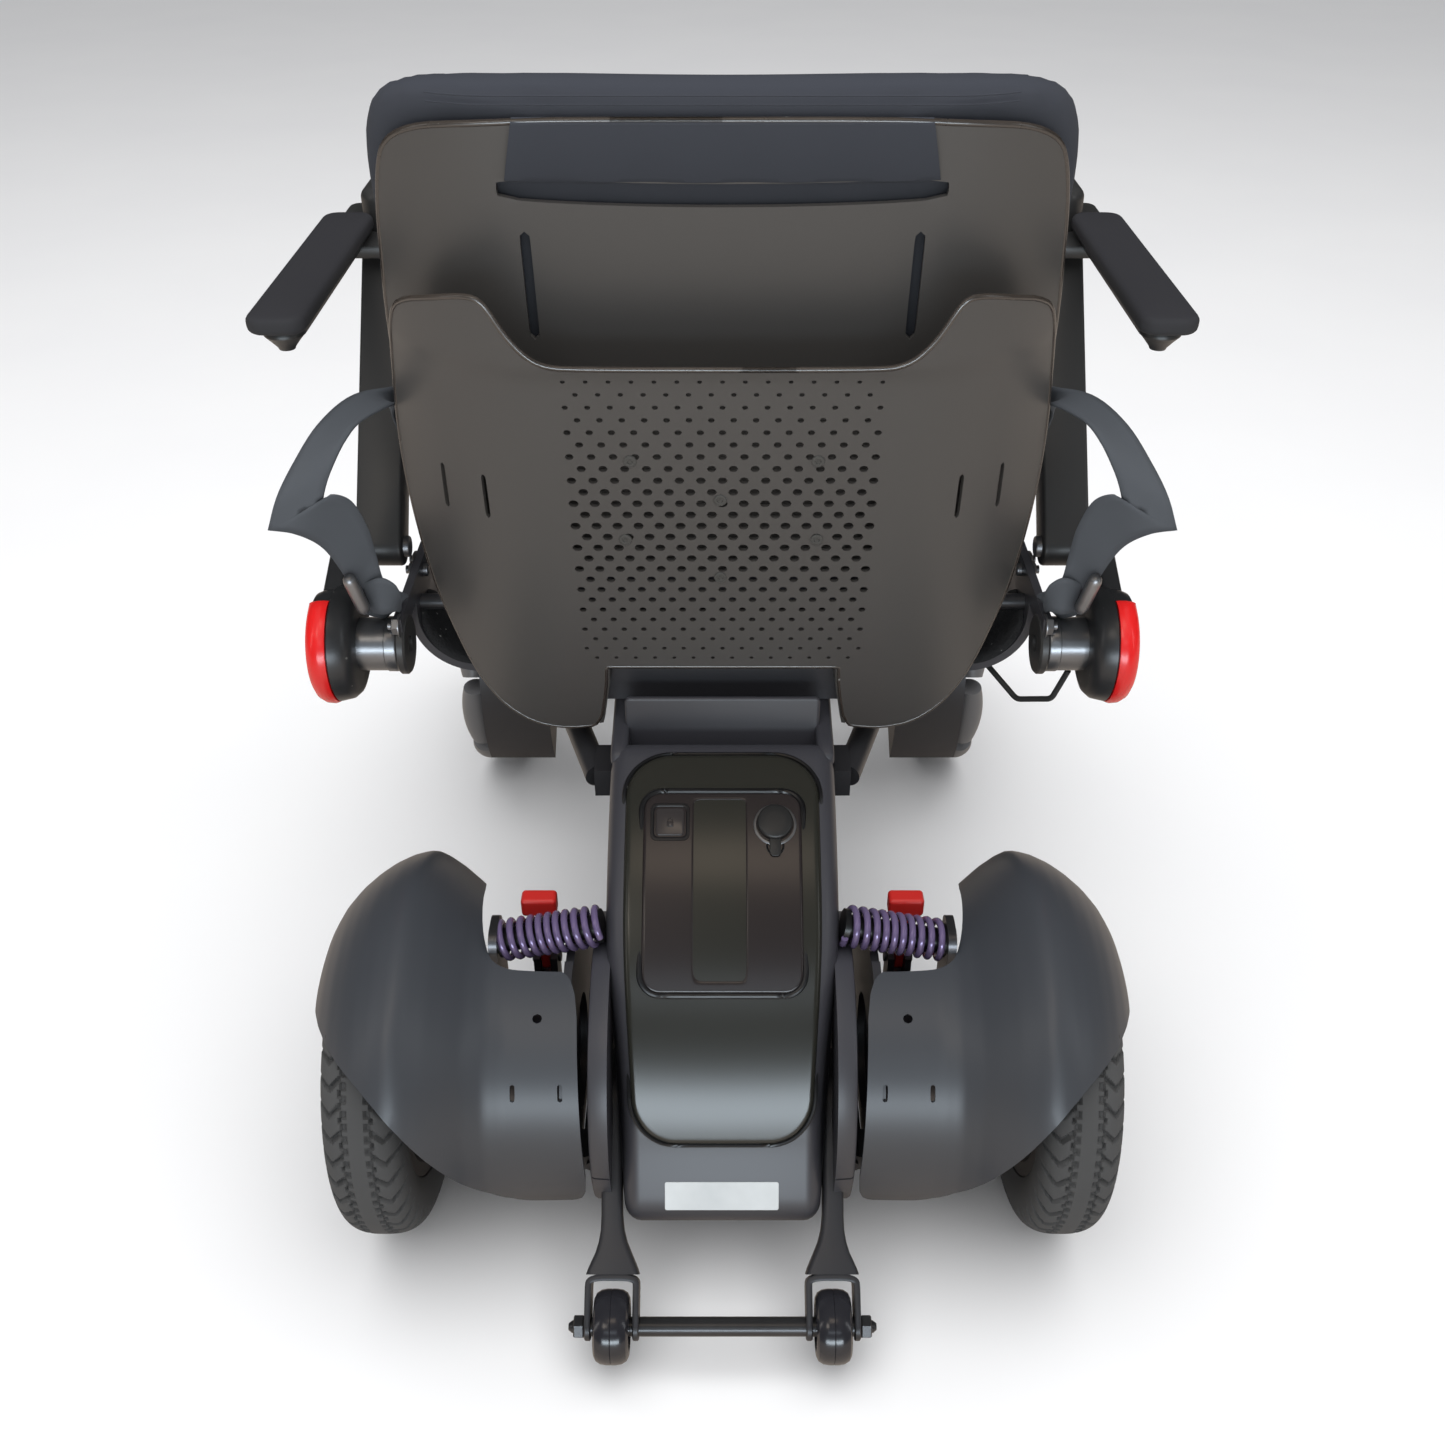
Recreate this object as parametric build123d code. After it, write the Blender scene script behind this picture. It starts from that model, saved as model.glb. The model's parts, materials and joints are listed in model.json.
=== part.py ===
"""Compact rear-drive power wheelchair with omni front wheels.

Frame: +Z up, the chair faces -Y, +X is the user's left. The origin is on the floor, at the
middle of the chair's footprint. Millimetres.
"""

from build123d import *
import os
from math import atan2, cos, degrees, hypot, radians, sin, tan

os.makedirs("parts", exist_ok=True)

# ---- Driving dimensions ------------------------------------------------------------------
half_length = 492.5  # origin to the front of the footplate and to the rear of the tip wheels
seat_half_width = 205.0
floor_to_pan = 384.0  # underside of the seat pan
cushion_thickness = 52.0
back_recline = 10.0  # degrees from upright
wheel_radius = 132.5  # front and rear wheels
rear_axle_y = 295.5
front_axle_y = -298.5
rear_track_half = 248.0
front_track_half = 240.0
tyre_width = 56.0
omni_width = 54.0
run_gap = 0.05  # radial clearance of a running fit
part_gap = 0.5  # clearance between pieces that don't touch
body_gap = 1.0  # clearance between pieces on different bodies
side_gap = 4.0  # clearance beside a part that swings or folds

# ---- Drive housing -----------------------------------------------------------------------
housing_half_width = 84.0
housing_wall = 4.0
cover_top = (182.5, 335.0)  # (Y, Z) where the gloss cover starts
cover_middle = (300.0, 264.4)
cover_bottom = (393.0, 137.0)
housing_bottom_z = 74.0
housing_front_y = 76.0
cover_half_width = 71.0
cover_proud = 2.0
cover_thick = 5.0
flank_radius = 108.0  # the round flanks beside the drive units
flank_outer_x = 97.0
flank_low_z = 101.0

# ---- Battery -----------------------------------------------------------------------------
battery_run = 37.0  # along the cover's curve, from its upper end to the battery's
battery_half_width = 58.0
battery_length = 147.0
battery_depth = 78.0
battery_corner = 14.0
channel_half_width = 18.0
channel_depth = 20.0
button_side = 22.0
cap_radius = 13.0

# ---- Suspension and drive units ----------------------------------------------------------
swing_pin = (96.5, 84.0)  # (X, Z) of the fore-and-aft swing pin
swing_pin_radius = 5.0
swing_lug_radius = 9.0
swing_lug_length = 26.0
knuckle_length = 80.0
swing_plate_x = 107.0
swing_plate_thick = 6.0
motor_radius = 50.0
motor_outer_x = 206.0
spring_radius = 13.5
spring_wire_radius = 2.3
spring_inner = (86.0, 290.0, 258.0)
spring_outer = (160.0, 290.0, 243.0)
spring_turns = 10
fender_thick = 3.0
fender_inner_radius = 110.0
fender_crest_radius = 155.0
fender_front_angle = -75.0  # degrees from straight up, backwards positive
fender_rear_angle = 119.0
fender_inner_front_angle = 10.0
fender_hole_radius = 3.2

# ---- Wheels ------------------------------------------------------------------------------
rim_radius = 92.0
hub_radius = 30.0
rear_stub_radius = 12.0
rollers_per_row = 9
roller_radius = 17.0
omni_hub_radius = 100.0
front_stub_radius = 8.0

# ---- Anti-tip wheels ---------------------------------------------------------------------
tip_wheel_radius = 25.0
tip_wheel_width = 25.0
tip_wheel_x = 78.0
tip_wheel_z = 40.0
tip_rod_radius = 6.5
tip_rod_half_length = 99.0
tip_arm_thick = 14.0
tip_fork_plate = 4.0

# ---- Seat --------------------------------------------------------------------------------
cradle_half_width = 233.0
cradle_plate = 6.0
cradle_rear_y = 128.0
cradle_front_y = 62.0
cradle_floor_z = 370.0
cradle_side_top_z = 446.0
pan_thick = 6.0
seat_front_y = -290.0
seat_rear_y = 90.0
pivot_y = 110.0  # back hinge
pivot_z = 421.0
pivot_pin_radius = 6.0

# ---- Backrest, in its own frame: x across, n backwards, s up along the back --------------
back_origin = (199.5, 631.0)  # (Y, Z) on the outside of the lower shell
shell_wall = 4.0
shell_flat_half = 108.0
shell_wrap_radius = 112.0
shell_wrap_angle = 60.0
lower_shell_top = 58.0
lower_shell_bottom = -303.0
upper_shell_n = -48.0
upper_shell_top = 137.0
upper_shell_bottom = -186.0
upper_half_width = 214.0
upper_wrap_radius = 150.0
back_cushion_thick = 44.0
back_cushion_top = 157.0
back_cushion_half_width = 216.0

# ---- Armrests ----------------------------------------------------------------------------
tube_axis = (165.0, 418.0)  # (Y, Z)
tube_radius = 19.5
lobe_radius = 40.0
lobe_inner_x = 262.0
lobe_outer_x = 290.0
arm_pin = (92.0, 458.0)  # (Y, Z)
arm_pin_radius = 6.0
post_inner_x = 238.0
post_outer_x = 272.0
post_thick = 18.0
post_top = (-52.0, 640.0)
pad_centre_x = 280.0
pad_half_width = 19.0
pad_rear_y = 176.0
pad_front_y = -57.0
pad_top_z = 662.0
pad_thick = 16.0
rail_thick = 8.0
pod_height = 30.0
pod_inner_x = 235.0  # the pods sit inboard of the pads, beside the cushion
pod_outer_x = 274.0

# ---- Front frame and footplate -----------------------------------------------------------
frame_tube_radius = 10.0
fork_inner_x = 178.0
fork_outer_x = 190.0
guard_radius = 142.0
guard_wall = 3.0
footplate_half_width = 128.0
footplate_thick = 8.0
footplate_hinge = (-330.0, 96.0)  # (Y, Z)
hinge_pin_radius = 5.0

written = []


# ---- Helpers -----------------------------------------------------------------------------
def save(name, *shapes):
    """Writes one node's solids to its STEP file."""
    solids = [s for shape in shapes for s in shape.solids()]
    export_step(Compound(label=name, children=solids), f"parts/{name}.step")
    written.append(name)


def block(x0, x1, y0, y1, z0, z1):
    """A box between two corners."""
    return Pos((x0 + x1) / 2, (y0 + y1) / 2, (z0 + z1) / 2) * Box(x1 - x0, y1 - y0, z1 - z0)


def rod_x(y, z, radius, x0, x1):
    """A round bar along X."""
    return Pos((x0 + x1) / 2, y, z) * Rot(0, 90, 0) * Cylinder(radius, x1 - x0)


def rod_y(x, z, radius, y0, y1):
    """A round bar along Y."""
    return Pos(x, (y0 + y1) / 2, z) * Rot(90, 0, 0) * Cylinder(radius, y1 - y0)


def slab(face, x0, x1):
    """A flat shape drawn in (Y, Z), given a thickness along X."""
    return extrude(Plane.YZ.offset(x0) * face, amount=x1 - x0)


def outline(points, radius=0.0):
    """A closed polygon face, with every corner rounded when a radius is given."""
    face = make_face(Polyline(*points, close=True))
    return fillet(face.vertices(), radius) if radius else face


def spin_x(profile, y, z):
    """Turns a profile drawn as (x, radius) about the line through (y, z) along X."""
    plane = Plane(origin=(0, y, z), x_dir=(1, 0, 0), z_dir=(0, -1, 0))
    return revolve(plane * profile, axis=Axis((0, y, z), (1, 0, 0)))


def sector(y, z, low, high, x0, x1, reach=400.0):
    """A wedge about an axle, from one angle to another. Angles are from straight up, backwards."""
    steps = max(2, int((high - low) / 30) + 1)
    angles = [radians(low + (high - low) * i / steps) for i in range(steps + 1)]
    points = [(y, z)] + [(y + reach * sin(a), z + reach * cos(a)) for a in angles]
    return slab(outline(points), x0, x1)


def other_side(shape):
    """The same piece on the chair's other side."""
    return mirror(shape, about=Plane.YZ)


def pipe(points, radius, bend):
    """A round tube along straight runs joined by arcs of one bend radius."""
    path = FilletPolyline(*points, radius=bend)
    start = path @ 0
    ring = Plane(origin=start, z_dir=path % 0) * Circle(radius)
    return sweep(ring, path=path)


def strap(points, width_direction, width, thick):
    """Flat webbing as a chain of thin bars that overlap at the turns."""
    chain = None
    across = Vector(*width_direction).normalized()
    for a, b in zip(points, points[1:]):
        start, end = Vector(*a), Vector(*b)
        along = (end - start).normalized()
        flat = (across - along * across.dot(along)).normalized()
        plane = Plane(origin=(start + end) / 2, x_dir=along, z_dir=along.cross(flat))
        piece = plane * Box((end - start).length + thick, width, thick)
        chain = piece if chain is None else chain + piece
    return chain


def hull_plate(y0, z0, r0, y1, z1, r1, x0, x1):
    """A flat link with round ends of two sizes."""
    run = hypot(y1 - y0, z1 - z0)
    turn = atan2(z1 - z0, y1 - y0)
    ratio = (r0 - r1) / run
    side = (1 - ratio * ratio) ** 0.5
    corners = []
    for y, z, r, sign in ((y0, z0, r0, 1), (y1, z1, r1, 1), (y1, z1, r1, -1), (y0, z0, r0, -1)):
        a, b = r * ratio, sign * r * side
        corners.append((y + a * cos(turn) - b * sin(turn), z + a * sin(turn) + b * cos(turn)))
    web = slab(outline(corners), x0, x1)
    return web + rod_x(y0, z0, r0, x0, x1) + rod_x(y1, z1, r1, x0, x1)


# ---- Frames used by several pieces -------------------------------------------------------
BACK = Plane(
    origin=(0, *back_origin),
    x_dir=(1, 0, 0),
    z_dir=(0, sin(radians(back_recline)), cos(radians(back_recline))),
).location

cover_arc = ThreePointArc(cover_top, cover_middle, cover_bottom)
cover_centre = cover_arc.arc_center
cover_radius = cover_arc.radius
cover_start = atan2(cover_top[1] - cover_centre.Y, cover_top[0] - cover_centre.X)


def cover_frame(x, run):
    """A frame on the cover's outer face: x across, y down along the curve, z outwards."""
    a = cover_start - run / cover_radius
    r = cover_radius + cover_proud
    origin = (x, cover_centre.X + r * cos(a), cover_centre.Y + r * sin(a))
    return Plane(origin=origin, x_dir=(1, 0, 0), z_dir=(0, cos(a), sin(a))).location


BATTERY = cover_frame(0, battery_run + battery_length / 2)

# ---- Drive housing -----------------------------------------------------------------------
def housing_outline():
    """The housing's side view: a long arc over the cover, then down and round underneath."""
    arc = ThreePointArc(cover_top, cover_middle, cover_bottom)
    rest = Polyline(
        cover_bottom,
        (cover_bottom[0] + 7, 106),
        (cover_bottom[0] - 2, housing_bottom_z + 10),
        (cover_bottom[0] - 16, housing_bottom_z),
        (housing_front_y + 80, housing_bottom_z),
        (housing_front_y, housing_bottom_z + 60),
        (housing_front_y, 318),
        (housing_front_y + 20, 335),
        cover_top,
    )
    return make_face(Curve() + [arc, rest])


def cover_band(inner, outer, half_width, low_share, high_share):
    """A curved plate that follows the housing's long arc, between two shares of its length."""
    arc = ThreePointArc(cover_top, cover_middle, cover_bottom)
    centre = arc.arc_center
    radius = arc.radius
    start, end = arc @ low_share, arc @ high_share
    angles = [atan2(p.Y - centre.Y, p.X - centre.X) for p in (start, end)]
    middle = sum(angles) / 2

    def on(r, a):
        return (centre.X + r * cos(a), centre.Y + r * sin(a))

    r0, r1 = radius + inner, radius + outer
    edge = [
        ThreePointArc(on(r1, angles[0]), on(r1, middle), on(r1, angles[1])),
        Line(on(r1, angles[1]), on(r0, angles[1])),
        ThreePointArc(on(r0, angles[1]), on(r0, middle), on(r0, angles[0])),
        Line(on(r0, angles[0]), on(r1, angles[0])),
    ]
    return slab(make_face(Curve() + edge), -half_width, half_width)


def flank_piece():
    """The round flank beside a drive unit, between the housing and the drive."""
    disc = rod_x(rear_axle_y, wheel_radius, flank_radius, housing_half_width, flank_outer_x)
    band = sector(rear_axle_y, wheel_radius, -30, 119, housing_half_width, flank_outer_x)
    keep = block(housing_half_width, flank_outer_x, 100, 420, flank_low_z, 300)
    return disc & band & keep


def tip_arm_recess(grow):
    """The space that an anti-tip arm takes beside the lower housing."""
    x0 = tip_wheel_x - tip_arm_thick / 2 - grow
    return block(x0, housing_half_width + 20, 318, 460, housing_bottom_z - 20, 152 + grow)


def make_housing():
    face = housing_outline()
    outer = slab(face, -housing_half_width, housing_half_width)
    rims = outer.edges().filter_by(lambda e: abs(abs(e.center().X) - housing_half_width) < 0.01)
    outer = fillet(rims, 9)
    inner_half = housing_half_width - housing_wall
    inner = slab(offset(face, -housing_wall), -inner_half, inner_half)
    flanks = flank_piece()
    shell = outer + flanks + other_side(flanks) - inner
    window = cover_band(-30, 30, cover_half_width + part_gap, 0.012, 0.988)
    top_slot = block(-66, 66, housing_front_y + 6, cover_top[0] - 12, 300, 400)
    recess = tip_arm_recess(body_gap)
    spring_hole = rod_x(spring_inner[1], spring_inner[2], 9, 70, 90)
    shell = shell - window - top_slot - recess - other_side(recess)
    shell = shell - spring_hole - other_side(spring_hole)
    shell = shell - knuckle_web(part_gap) - other_side(knuckle_web(part_gap))
    save("housing_shell", shell)

    cover = cover_band(cover_proud - cover_thick, cover_proud, cover_half_width, 0.015, 0.985)
    hole = Box(2 * (battery_half_width + body_gap), battery_length + 2 * body_gap, 90)
    hole = fillet(hole.edges().filter_by(Axis.Z), battery_corner + body_gap)
    save("gloss_cover", cover - BATTERY * hole)


def knuckle_web(grow):
    """The bar that carries a knuckle through the housing's wall."""
    y0 = rear_axle_y - knuckle_length / 2
    y1 = rear_axle_y + knuckle_length / 2
    low, high = swing_pin[1] - 4, swing_pin[1] + 6
    return block(62, swing_pin[0], y0 - grow, y1 + grow, low - grow, high + grow)


def make_chassis():
    """Side plates, floor, seat column and both swing pins, welded together."""
    inner_half = housing_half_width - housing_wall
    x1 = tip_wheel_x - tip_arm_thick / 2 - body_gap - housing_wall - part_gap
    x0 = x1 - 4
    side = slab(outline([(98, 136), (170, 88), (380, 84), (380, 126), (300, 150), (200, 150), (140, 318), (98, 318)], 5), x0, x1)
    floor = block(-x0, x0, 190, 340, 84, 89)
    front = block(-x0, x0, 96, 100, 130, 300)
    frame = side + other_side(side) + floor + front
    knuckle_y0 = rear_axle_y - knuckle_length / 2
    knuckle_y1 = rear_axle_y + knuckle_length / 2
    knuckle = rod_y(*swing_pin, swing_lug_radius, knuckle_y0, knuckle_y1)
    knuckle = knuckle + knuckle_web(0)
    reach = knuckle_length / 2 + swing_lug_length + 4
    pin = rod_y(*swing_pin, swing_pin_radius, rear_axle_y - reach, rear_axle_y + reach)
    knuckle = knuckle + pin
    column = block(-46, 46, 84, 120, 142, cradle_floor_z)
    column = column - block(-42, 42, 88, 116, 90, cradle_floor_z - 6)
    save("chassis_frame", frame + knuckle + other_side(knuckle) + column)
    module = block(-56, 56, 196, 300, 90, 146)
    save("control_module", fillet(module.edges(), 5))


def make_battery():
    """The battery's face follows the cover's curve; the body is a straight-sided block."""
    rise = 8.0
    body = Pos(0, 0, rise / 2 - battery_depth / 2) * Box(
        2 * battery_half_width, battery_length, battery_depth + rise
    )
    body = fillet(body.edges().filter_by(Axis.Z), battery_corner)
    channel = Pos(0, 0, rise / 2 - channel_depth / 2) * Box(
        2 * channel_half_width, battery_length - 14, channel_depth + rise
    )
    case = BATTERY * (body - channel)
    round_face = rod_x(cover_centre.X, cover_centre.Y, cover_radius + cover_proud, -100, 100)
    case = case & round_face
    button_at = cover_frame(38, battery_run + 24)
    cap_at = cover_frame(-38, battery_run + 26)
    case = case - button_at * Box(button_side + body_gap, button_side + body_gap, 16)
    case = case - cap_at * Cylinder(cap_radius + body_gap, 14) - cap_at * Cylinder(9, 44)
    for i in range(3):
        case = case + cover_frame(0, battery_run + 13 + 6 * i) * Pos(0, 0, -10) * Box(2 * channel_half_width, 3, 5)
    save("battery_case", case)
    button = fillet(Box(button_side, button_side, 5).edges().filter_by(Axis.Z), 4)
    button = fillet(button.faces().sort_by(Axis.Z)[-1].edges(), 1)
    save("battery_release_button", button_at * Pos(0, 0, -3) * button)
    plug = Pos(0, 0, -4) * Cylinder(7, 3)
    tab = Pos(0, cap_radius + 3, 1.5) * Box(10, 12, 2)
    save("charge_port_cap", cap_at * (Cylinder(cap_radius, 5) + plug + tab))
    tray = Pos(0, 0, -battery_depth - 5) * Box(96, 100, 8)
    legs = Pos(0, 30, -battery_depth - 20) * Box(90, 10, 30)
    save("battery_dock", BATTERY * (fillet(tray.edges().filter_by(Axis.Z), 4) + legs))


# ---- Drive units -------------------------------------------------------------------------
def fender_profile():
    """The fender's section as (x, radius): a level inner band, a rise, a crest and a fall."""
    outer = [
        (101, fender_inner_radius),
        (158, fender_inner_radius),
        (190, fender_inner_radius + 22),
        (214, fender_crest_radius - 3),
        (226, fender_crest_radius),
        (240, fender_crest_radius - 2),
        (272, fender_crest_radius - 24),
        (294, fender_crest_radius - 52),
    ]
    inner = [(x - (1.2 if x > 240 else 0), r - fender_thick) for x, r in outer[:6]]
    inner += [(269.5, fender_crest_radius - 26.5), (291, fender_crest_radius - 54)]
    return outline(outer + inner[::-1])


def make_fender():
    ring = spin_x(fender_profile(), rear_axle_y, wheel_radius)
    body = ring & sector(rear_axle_y, wheel_radius, fender_front_angle, fender_rear_angle, 90, 300)
    front = sector(rear_axle_y, wheel_radius, -90, fender_inner_front_angle, 90, 172)
    # The rear edge climbs outwards and leaves the tyre bare; drawn in (X, Z).
    sweep_cut = outline([(310, 20), (310, 200), (292, 199), (250, 212), (200, 172), (158, 97), (150, 20)])
    rear = extrude(Plane.XZ.offset(-500) * sweep_cut, amount=165)
    # The inner edge leans away from the flank, so that the unit can swing.
    lean = extrude(Plane.XZ.offset(-500) * outline([(90, 60), (101, 60), (106.8, 260), (90, 260)]), amount=400)
    hole_angle = radians(28.5)
    radial = Plane(
        origin=(128, rear_axle_y, wheel_radius), z_dir=(0, sin(hole_angle), cos(hole_angle))
    )
    hole = radial * Pos(0, 0, fender_inner_radius) * Cylinder(fender_hole_radius, 20)
    slots = []
    slot_angle = radians(55.5)
    for x in (113, 145):
        place = Plane(
            origin=(x, rear_axle_y, wheel_radius),
            x_dir=(1, 0, 0),
            z_dir=(0, sin(slot_angle), cos(slot_angle)),
        )
        slots.append(place * Pos(0, 0, fender_inner_radius) * Box(3, 12, 20))
    body = body - front - rear - lean - hole - slots[0] - slots[1]
    return body


def spring_line():
    """The spring's start, direction and length."""
    start, end = Vector(*spring_inner), Vector(*spring_outer)
    return start, (end - start).normalized(), (end - start).length


def make_spring():
    start, along, length = spring_line()
    wire = spring_wire_radius
    coil_radius = spring_radius - wire
    pitch = (length - 2 * wire - 4) / spring_turns
    helix = Helix(pitch=pitch, height=pitch * spring_turns, radius=coil_radius)
    ring = Plane(origin=helix @ 0, z_dir=helix % 0) * Circle(wire)
    coil = sweep(ring, path=helix, is_frenet=True)
    place = Plane(origin=start + along * (wire + 2), z_dir=along).location
    return place * coil


def make_drive_unit(name, turn):
    """One drive unit on the user's left, or turned over to the right."""
    axle = (rear_axle_y, wheel_radius)
    x0, x1 = swing_plate_x, swing_plate_x + swing_plate_thick
    plate = rod_x(*axle, fender_inner_radius - fender_thick, x0, x1)
    plate = plate & block(x0, x1, 100, 500, swing_pin[1] - 8, 300)
    lugs = None
    half = knuckle_length / 2
    for y0 in (rear_axle_y - half - body_gap - swing_lug_length, rear_axle_y + half + body_gap):
        y1 = y0 + swing_lug_length
        lug = rod_y(*swing_pin, swing_lug_radius, y0, y1)
        lug = lug + block(swing_pin[0], x1, y0, y1, swing_pin[1] - 7, swing_pin[1] + 7)
        lug = lug - rod_y(*swing_pin, swing_pin_radius + run_gap, 0, 500)
        lugs = lug if lugs is None else lugs + lug
    start, along, _ = spring_line()
    end = Vector(*spring_outer)
    bracket = block(end.X + 1, end.X + 7, end.Y - 17, end.Y + 17, 176, end.Z + 16)
    bracket = fillet(bracket.edges().filter_by(Axis.X).sort_by(Axis.Z)[-2:], 12)
    arm = plate + lugs
    room = block(x0 - 5, x1 + 5, spring_inner[1] - 17, spring_inner[1] + 17, 234, 260)
    save(f"{name}_swing_arm", turn(arm - room - rod_x(*axle, motor_radius - 6, x0 - 1, x1 + 1)))

    motor = rod_x(*axle, motor_radius, x1, motor_outer_x - 26)
    gearbox = rod_x(*axle, motor_radius - 8, motor_outer_x - 26, motor_outer_x)
    stub = rod_x(*axle, rear_stub_radius, motor_outer_x, rear_track_half + 14)
    lever_y, lever_z = 248.0, 186.0
    ear = block(126, 144, lever_y - 8, lever_y + 12, lever_z - 30, lever_z + 8)
    ear = ear - block(131, 139, lever_y - 12, lever_y + 20, lever_z - 14, lever_z + 20)
    pin = rod_x(lever_y, lever_z, 4, 124, 146)
    motor = fillet(motor.edges(), 3) + gearbox + stub + bracket + ear + pin
    save(f"{name}_drive_motor", turn(motor))
    save(f"{name}_spring", turn(make_spring()))
    save(f"{name}_fender", turn(make_fender()))

    lever = hull_plate(lever_y, lever_z, 9, lever_y + 12, lever_z + 62, 6, 132, 138)
    knob = Pos(135, lever_y + 12, lever_z + 66) * Box(26, 14, 16)
    lever = lever + fillet(knob.edges(), 3) - rod_x(lever_y, lever_z, 4 + run_gap, 120, 150)
    save(f"{name}_brake_lever", turn(lever))


def tyre_profile(centre_x):
    """A tyre's section as (x, radius)."""
    half = tyre_width / 2
    crown = wheel_radius
    points = [
        (centre_x - half + 5, rim_radius),
        (centre_x - half, rim_radius + 14),
        (centre_x - half + 1, crown - 14),
        (centre_x - half + 8, crown - 4),
        (centre_x - 8, crown),
        (centre_x + 8, crown),
        (centre_x + half - 8, crown - 4),
        (centre_x + half - 1, crown - 14),
        (centre_x + half, rim_radius + 14),
        (centre_x + half - 5, rim_radius),
    ]
    return outline(points)


def make_rear_wheel(name, turn):
    axle = (rear_axle_y, wheel_radius)
    tyre = spin_x(tyre_profile(rear_track_half), *axle)
    save(f"{name}_rear_tyre", turn(tyre))
    half = tyre_width / 2 - 5
    c = rear_track_half
    rim = spin_x(
        outline(
            [
                (c - half, rim_radius),
                (c - half, rim_radius - 10),
                (c - 4, rim_radius - 16),
                (c - 4, hub_radius),
                (c - half - 4, hub_radius),
                (c - half - 4, rear_stub_radius + run_gap),
                (c + 16, rear_stub_radius + run_gap),
                (c + 16, hub_radius - 4),
                (c + 8, hub_radius),
                (c + 8, rim_radius - 16),
                (c + half, rim_radius - 10),
                (c + half, rim_radius),
            ]
        ),
        *axle,
    )
    for i in range(5):
        a = radians(36 + 72 * i)
        y, z = axle[0] + 54 * sin(a), axle[1] + 54 * cos(a)
        rim = rim - rod_x(y, z, 13, c - 30, c + 30)
    save(f"{name}_rear_rim", turn(rim))


# ---- Front wheels ------------------------------------------------------------------------
def make_front_wheel(name, turn):
    axle = (front_axle_y, wheel_radius)
    c = front_track_half
    half = omni_width / 2
    hub = spin_x(
        outline(
            [
                (c - half, front_stub_radius + run_gap),
                (c - half, 32),
                (c - 16, 40),
                (c - 4, omni_hub_radius),
                (c + 4, omni_hub_radius),
                (c + 16, 40),
                (c + half - 4, 32),
                (c + half - 4, front_stub_radius + run_gap),
            ]
        ),
        *axle,
    )
    rollers = []
    for row, x in enumerate((c - half / 2 - 1, c + half / 2 + 1)):
        for i in range(rollers_per_row):
            a = 360 / rollers_per_row * (i + row / 2)
            r = wheel_radius - roller_radius
            length = 2 * r * tan(radians(180 / rollers_per_row)) * 0.86
            roller = barrel(length)
            place = Pos(x, *axle) * Rot(-a, 0, 0) * Pos(0, 0, r)
            rollers.append(place * roller)
    gap = part_gap
    clear = None
    for row, x in enumerate((c - half / 2 - 1, c + half / 2 + 1)):
        for i in range(rollers_per_row):
            a = 360 / rollers_per_row * (i + row / 2)
            r = wheel_radius - roller_radius
            cut = Pos(x, *axle) * Rot(-a, 0, 0) * Pos(0, 0, r) * Box(
                2 * roller_radius + gap, 2 * r * tan(radians(180 / rollers_per_row)) * 0.86 + gap, 2 * roller_radius + gap
            )
            clear = cut if clear is None else clear + cut
    save(f"{name}_omni_hub", turn(hub - clear))
    save(f"{name}_omni_rollers", *[turn(r) for r in rollers])


def barrel(length):
    """One roller: fat in the middle, so that the rollers together run round."""
    half = length / 2
    mid = roller_radius
    sag = wheel_radius - (wheel_radius**2 - half**2) ** 0.5
    end = mid - sag
    profile = make_face(
        Curve()
        + [
            Line((0, -half), (end, -half)),
            ThreePointArc((end, -half), (mid, 0), (end, half)),
            Line((end, half), (0, half)),
            Line((0, half), (0, -half)),
        ]
    )
    return revolve(profile, axis=Axis.Y)


def make_front_frame():
    """Bent tubes from the housing out to the forks, a cross tube, forks with guards."""
    axle = (front_axle_y, wheel_radius)
    x_fork = (fork_inner_x + fork_outer_x) / 2
    path = [
        (housing_half_width + 13, 158, 292),
        (118, 96, 296),
        (150, -20, 296),
        (x_fork, -130, 280),
        (x_fork, -236, 214),
    ]
    tube = pipe(path, frame_tube_radius, 55)
    leg = hull_plate(-236, 214, 17, *axle, 24, fork_inner_x, fork_outer_x)
    leg = leg + hull_plate(-205, 120, 15, *axle, 24, fork_inner_x, fork_outer_x)
    stub = rod_x(*axle, front_stub_radius, fork_outer_x, front_track_half + omni_width / 2 - 4)
    washer = rod_x(*axle, 20, fork_outer_x, front_track_half - omni_width / 2 - body_gap)
    guard = rod_x(*axle, guard_radius, fork_inner_x, 246)
    guard = guard - rod_x(*axle, guard_radius - guard_wall, fork_inner_x + 4, 260)
    guard = guard & sector(*axle, 28, 122, 160, 260)
    inner_cut = rod_x(*axle, 96, 150, fork_inner_x + 4)
    guard = guard - inner_cut
    clamp = block(housing_half_width + 0.2, 99, 134, 168, 280, 304)
    side = tube + leg + stub + washer + guard + clamp
    cross = rod_x(-150, 262, 11, -fork_inner_x, fork_inner_x)
    spine = block(-30, 30, -150, housing_front_y - 0.2, 240, 276)
    spine = fillet(spine.edges().filter_by(Axis.Y), 8)
    hangers = None
    for x in (-62, 62):
        bar = hull_plate(-150, 262, 14, *footplate_hinge, 11, x - 5, x + 5)
        hangers = bar if hangers is None else hangers + bar
    pin = rod_x(*footplate_hinge, hinge_pin_radius, -72, 72)
    centre = cross + spine + hangers + pin
    save("front_frame", side + other_side(side) + centre)


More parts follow.
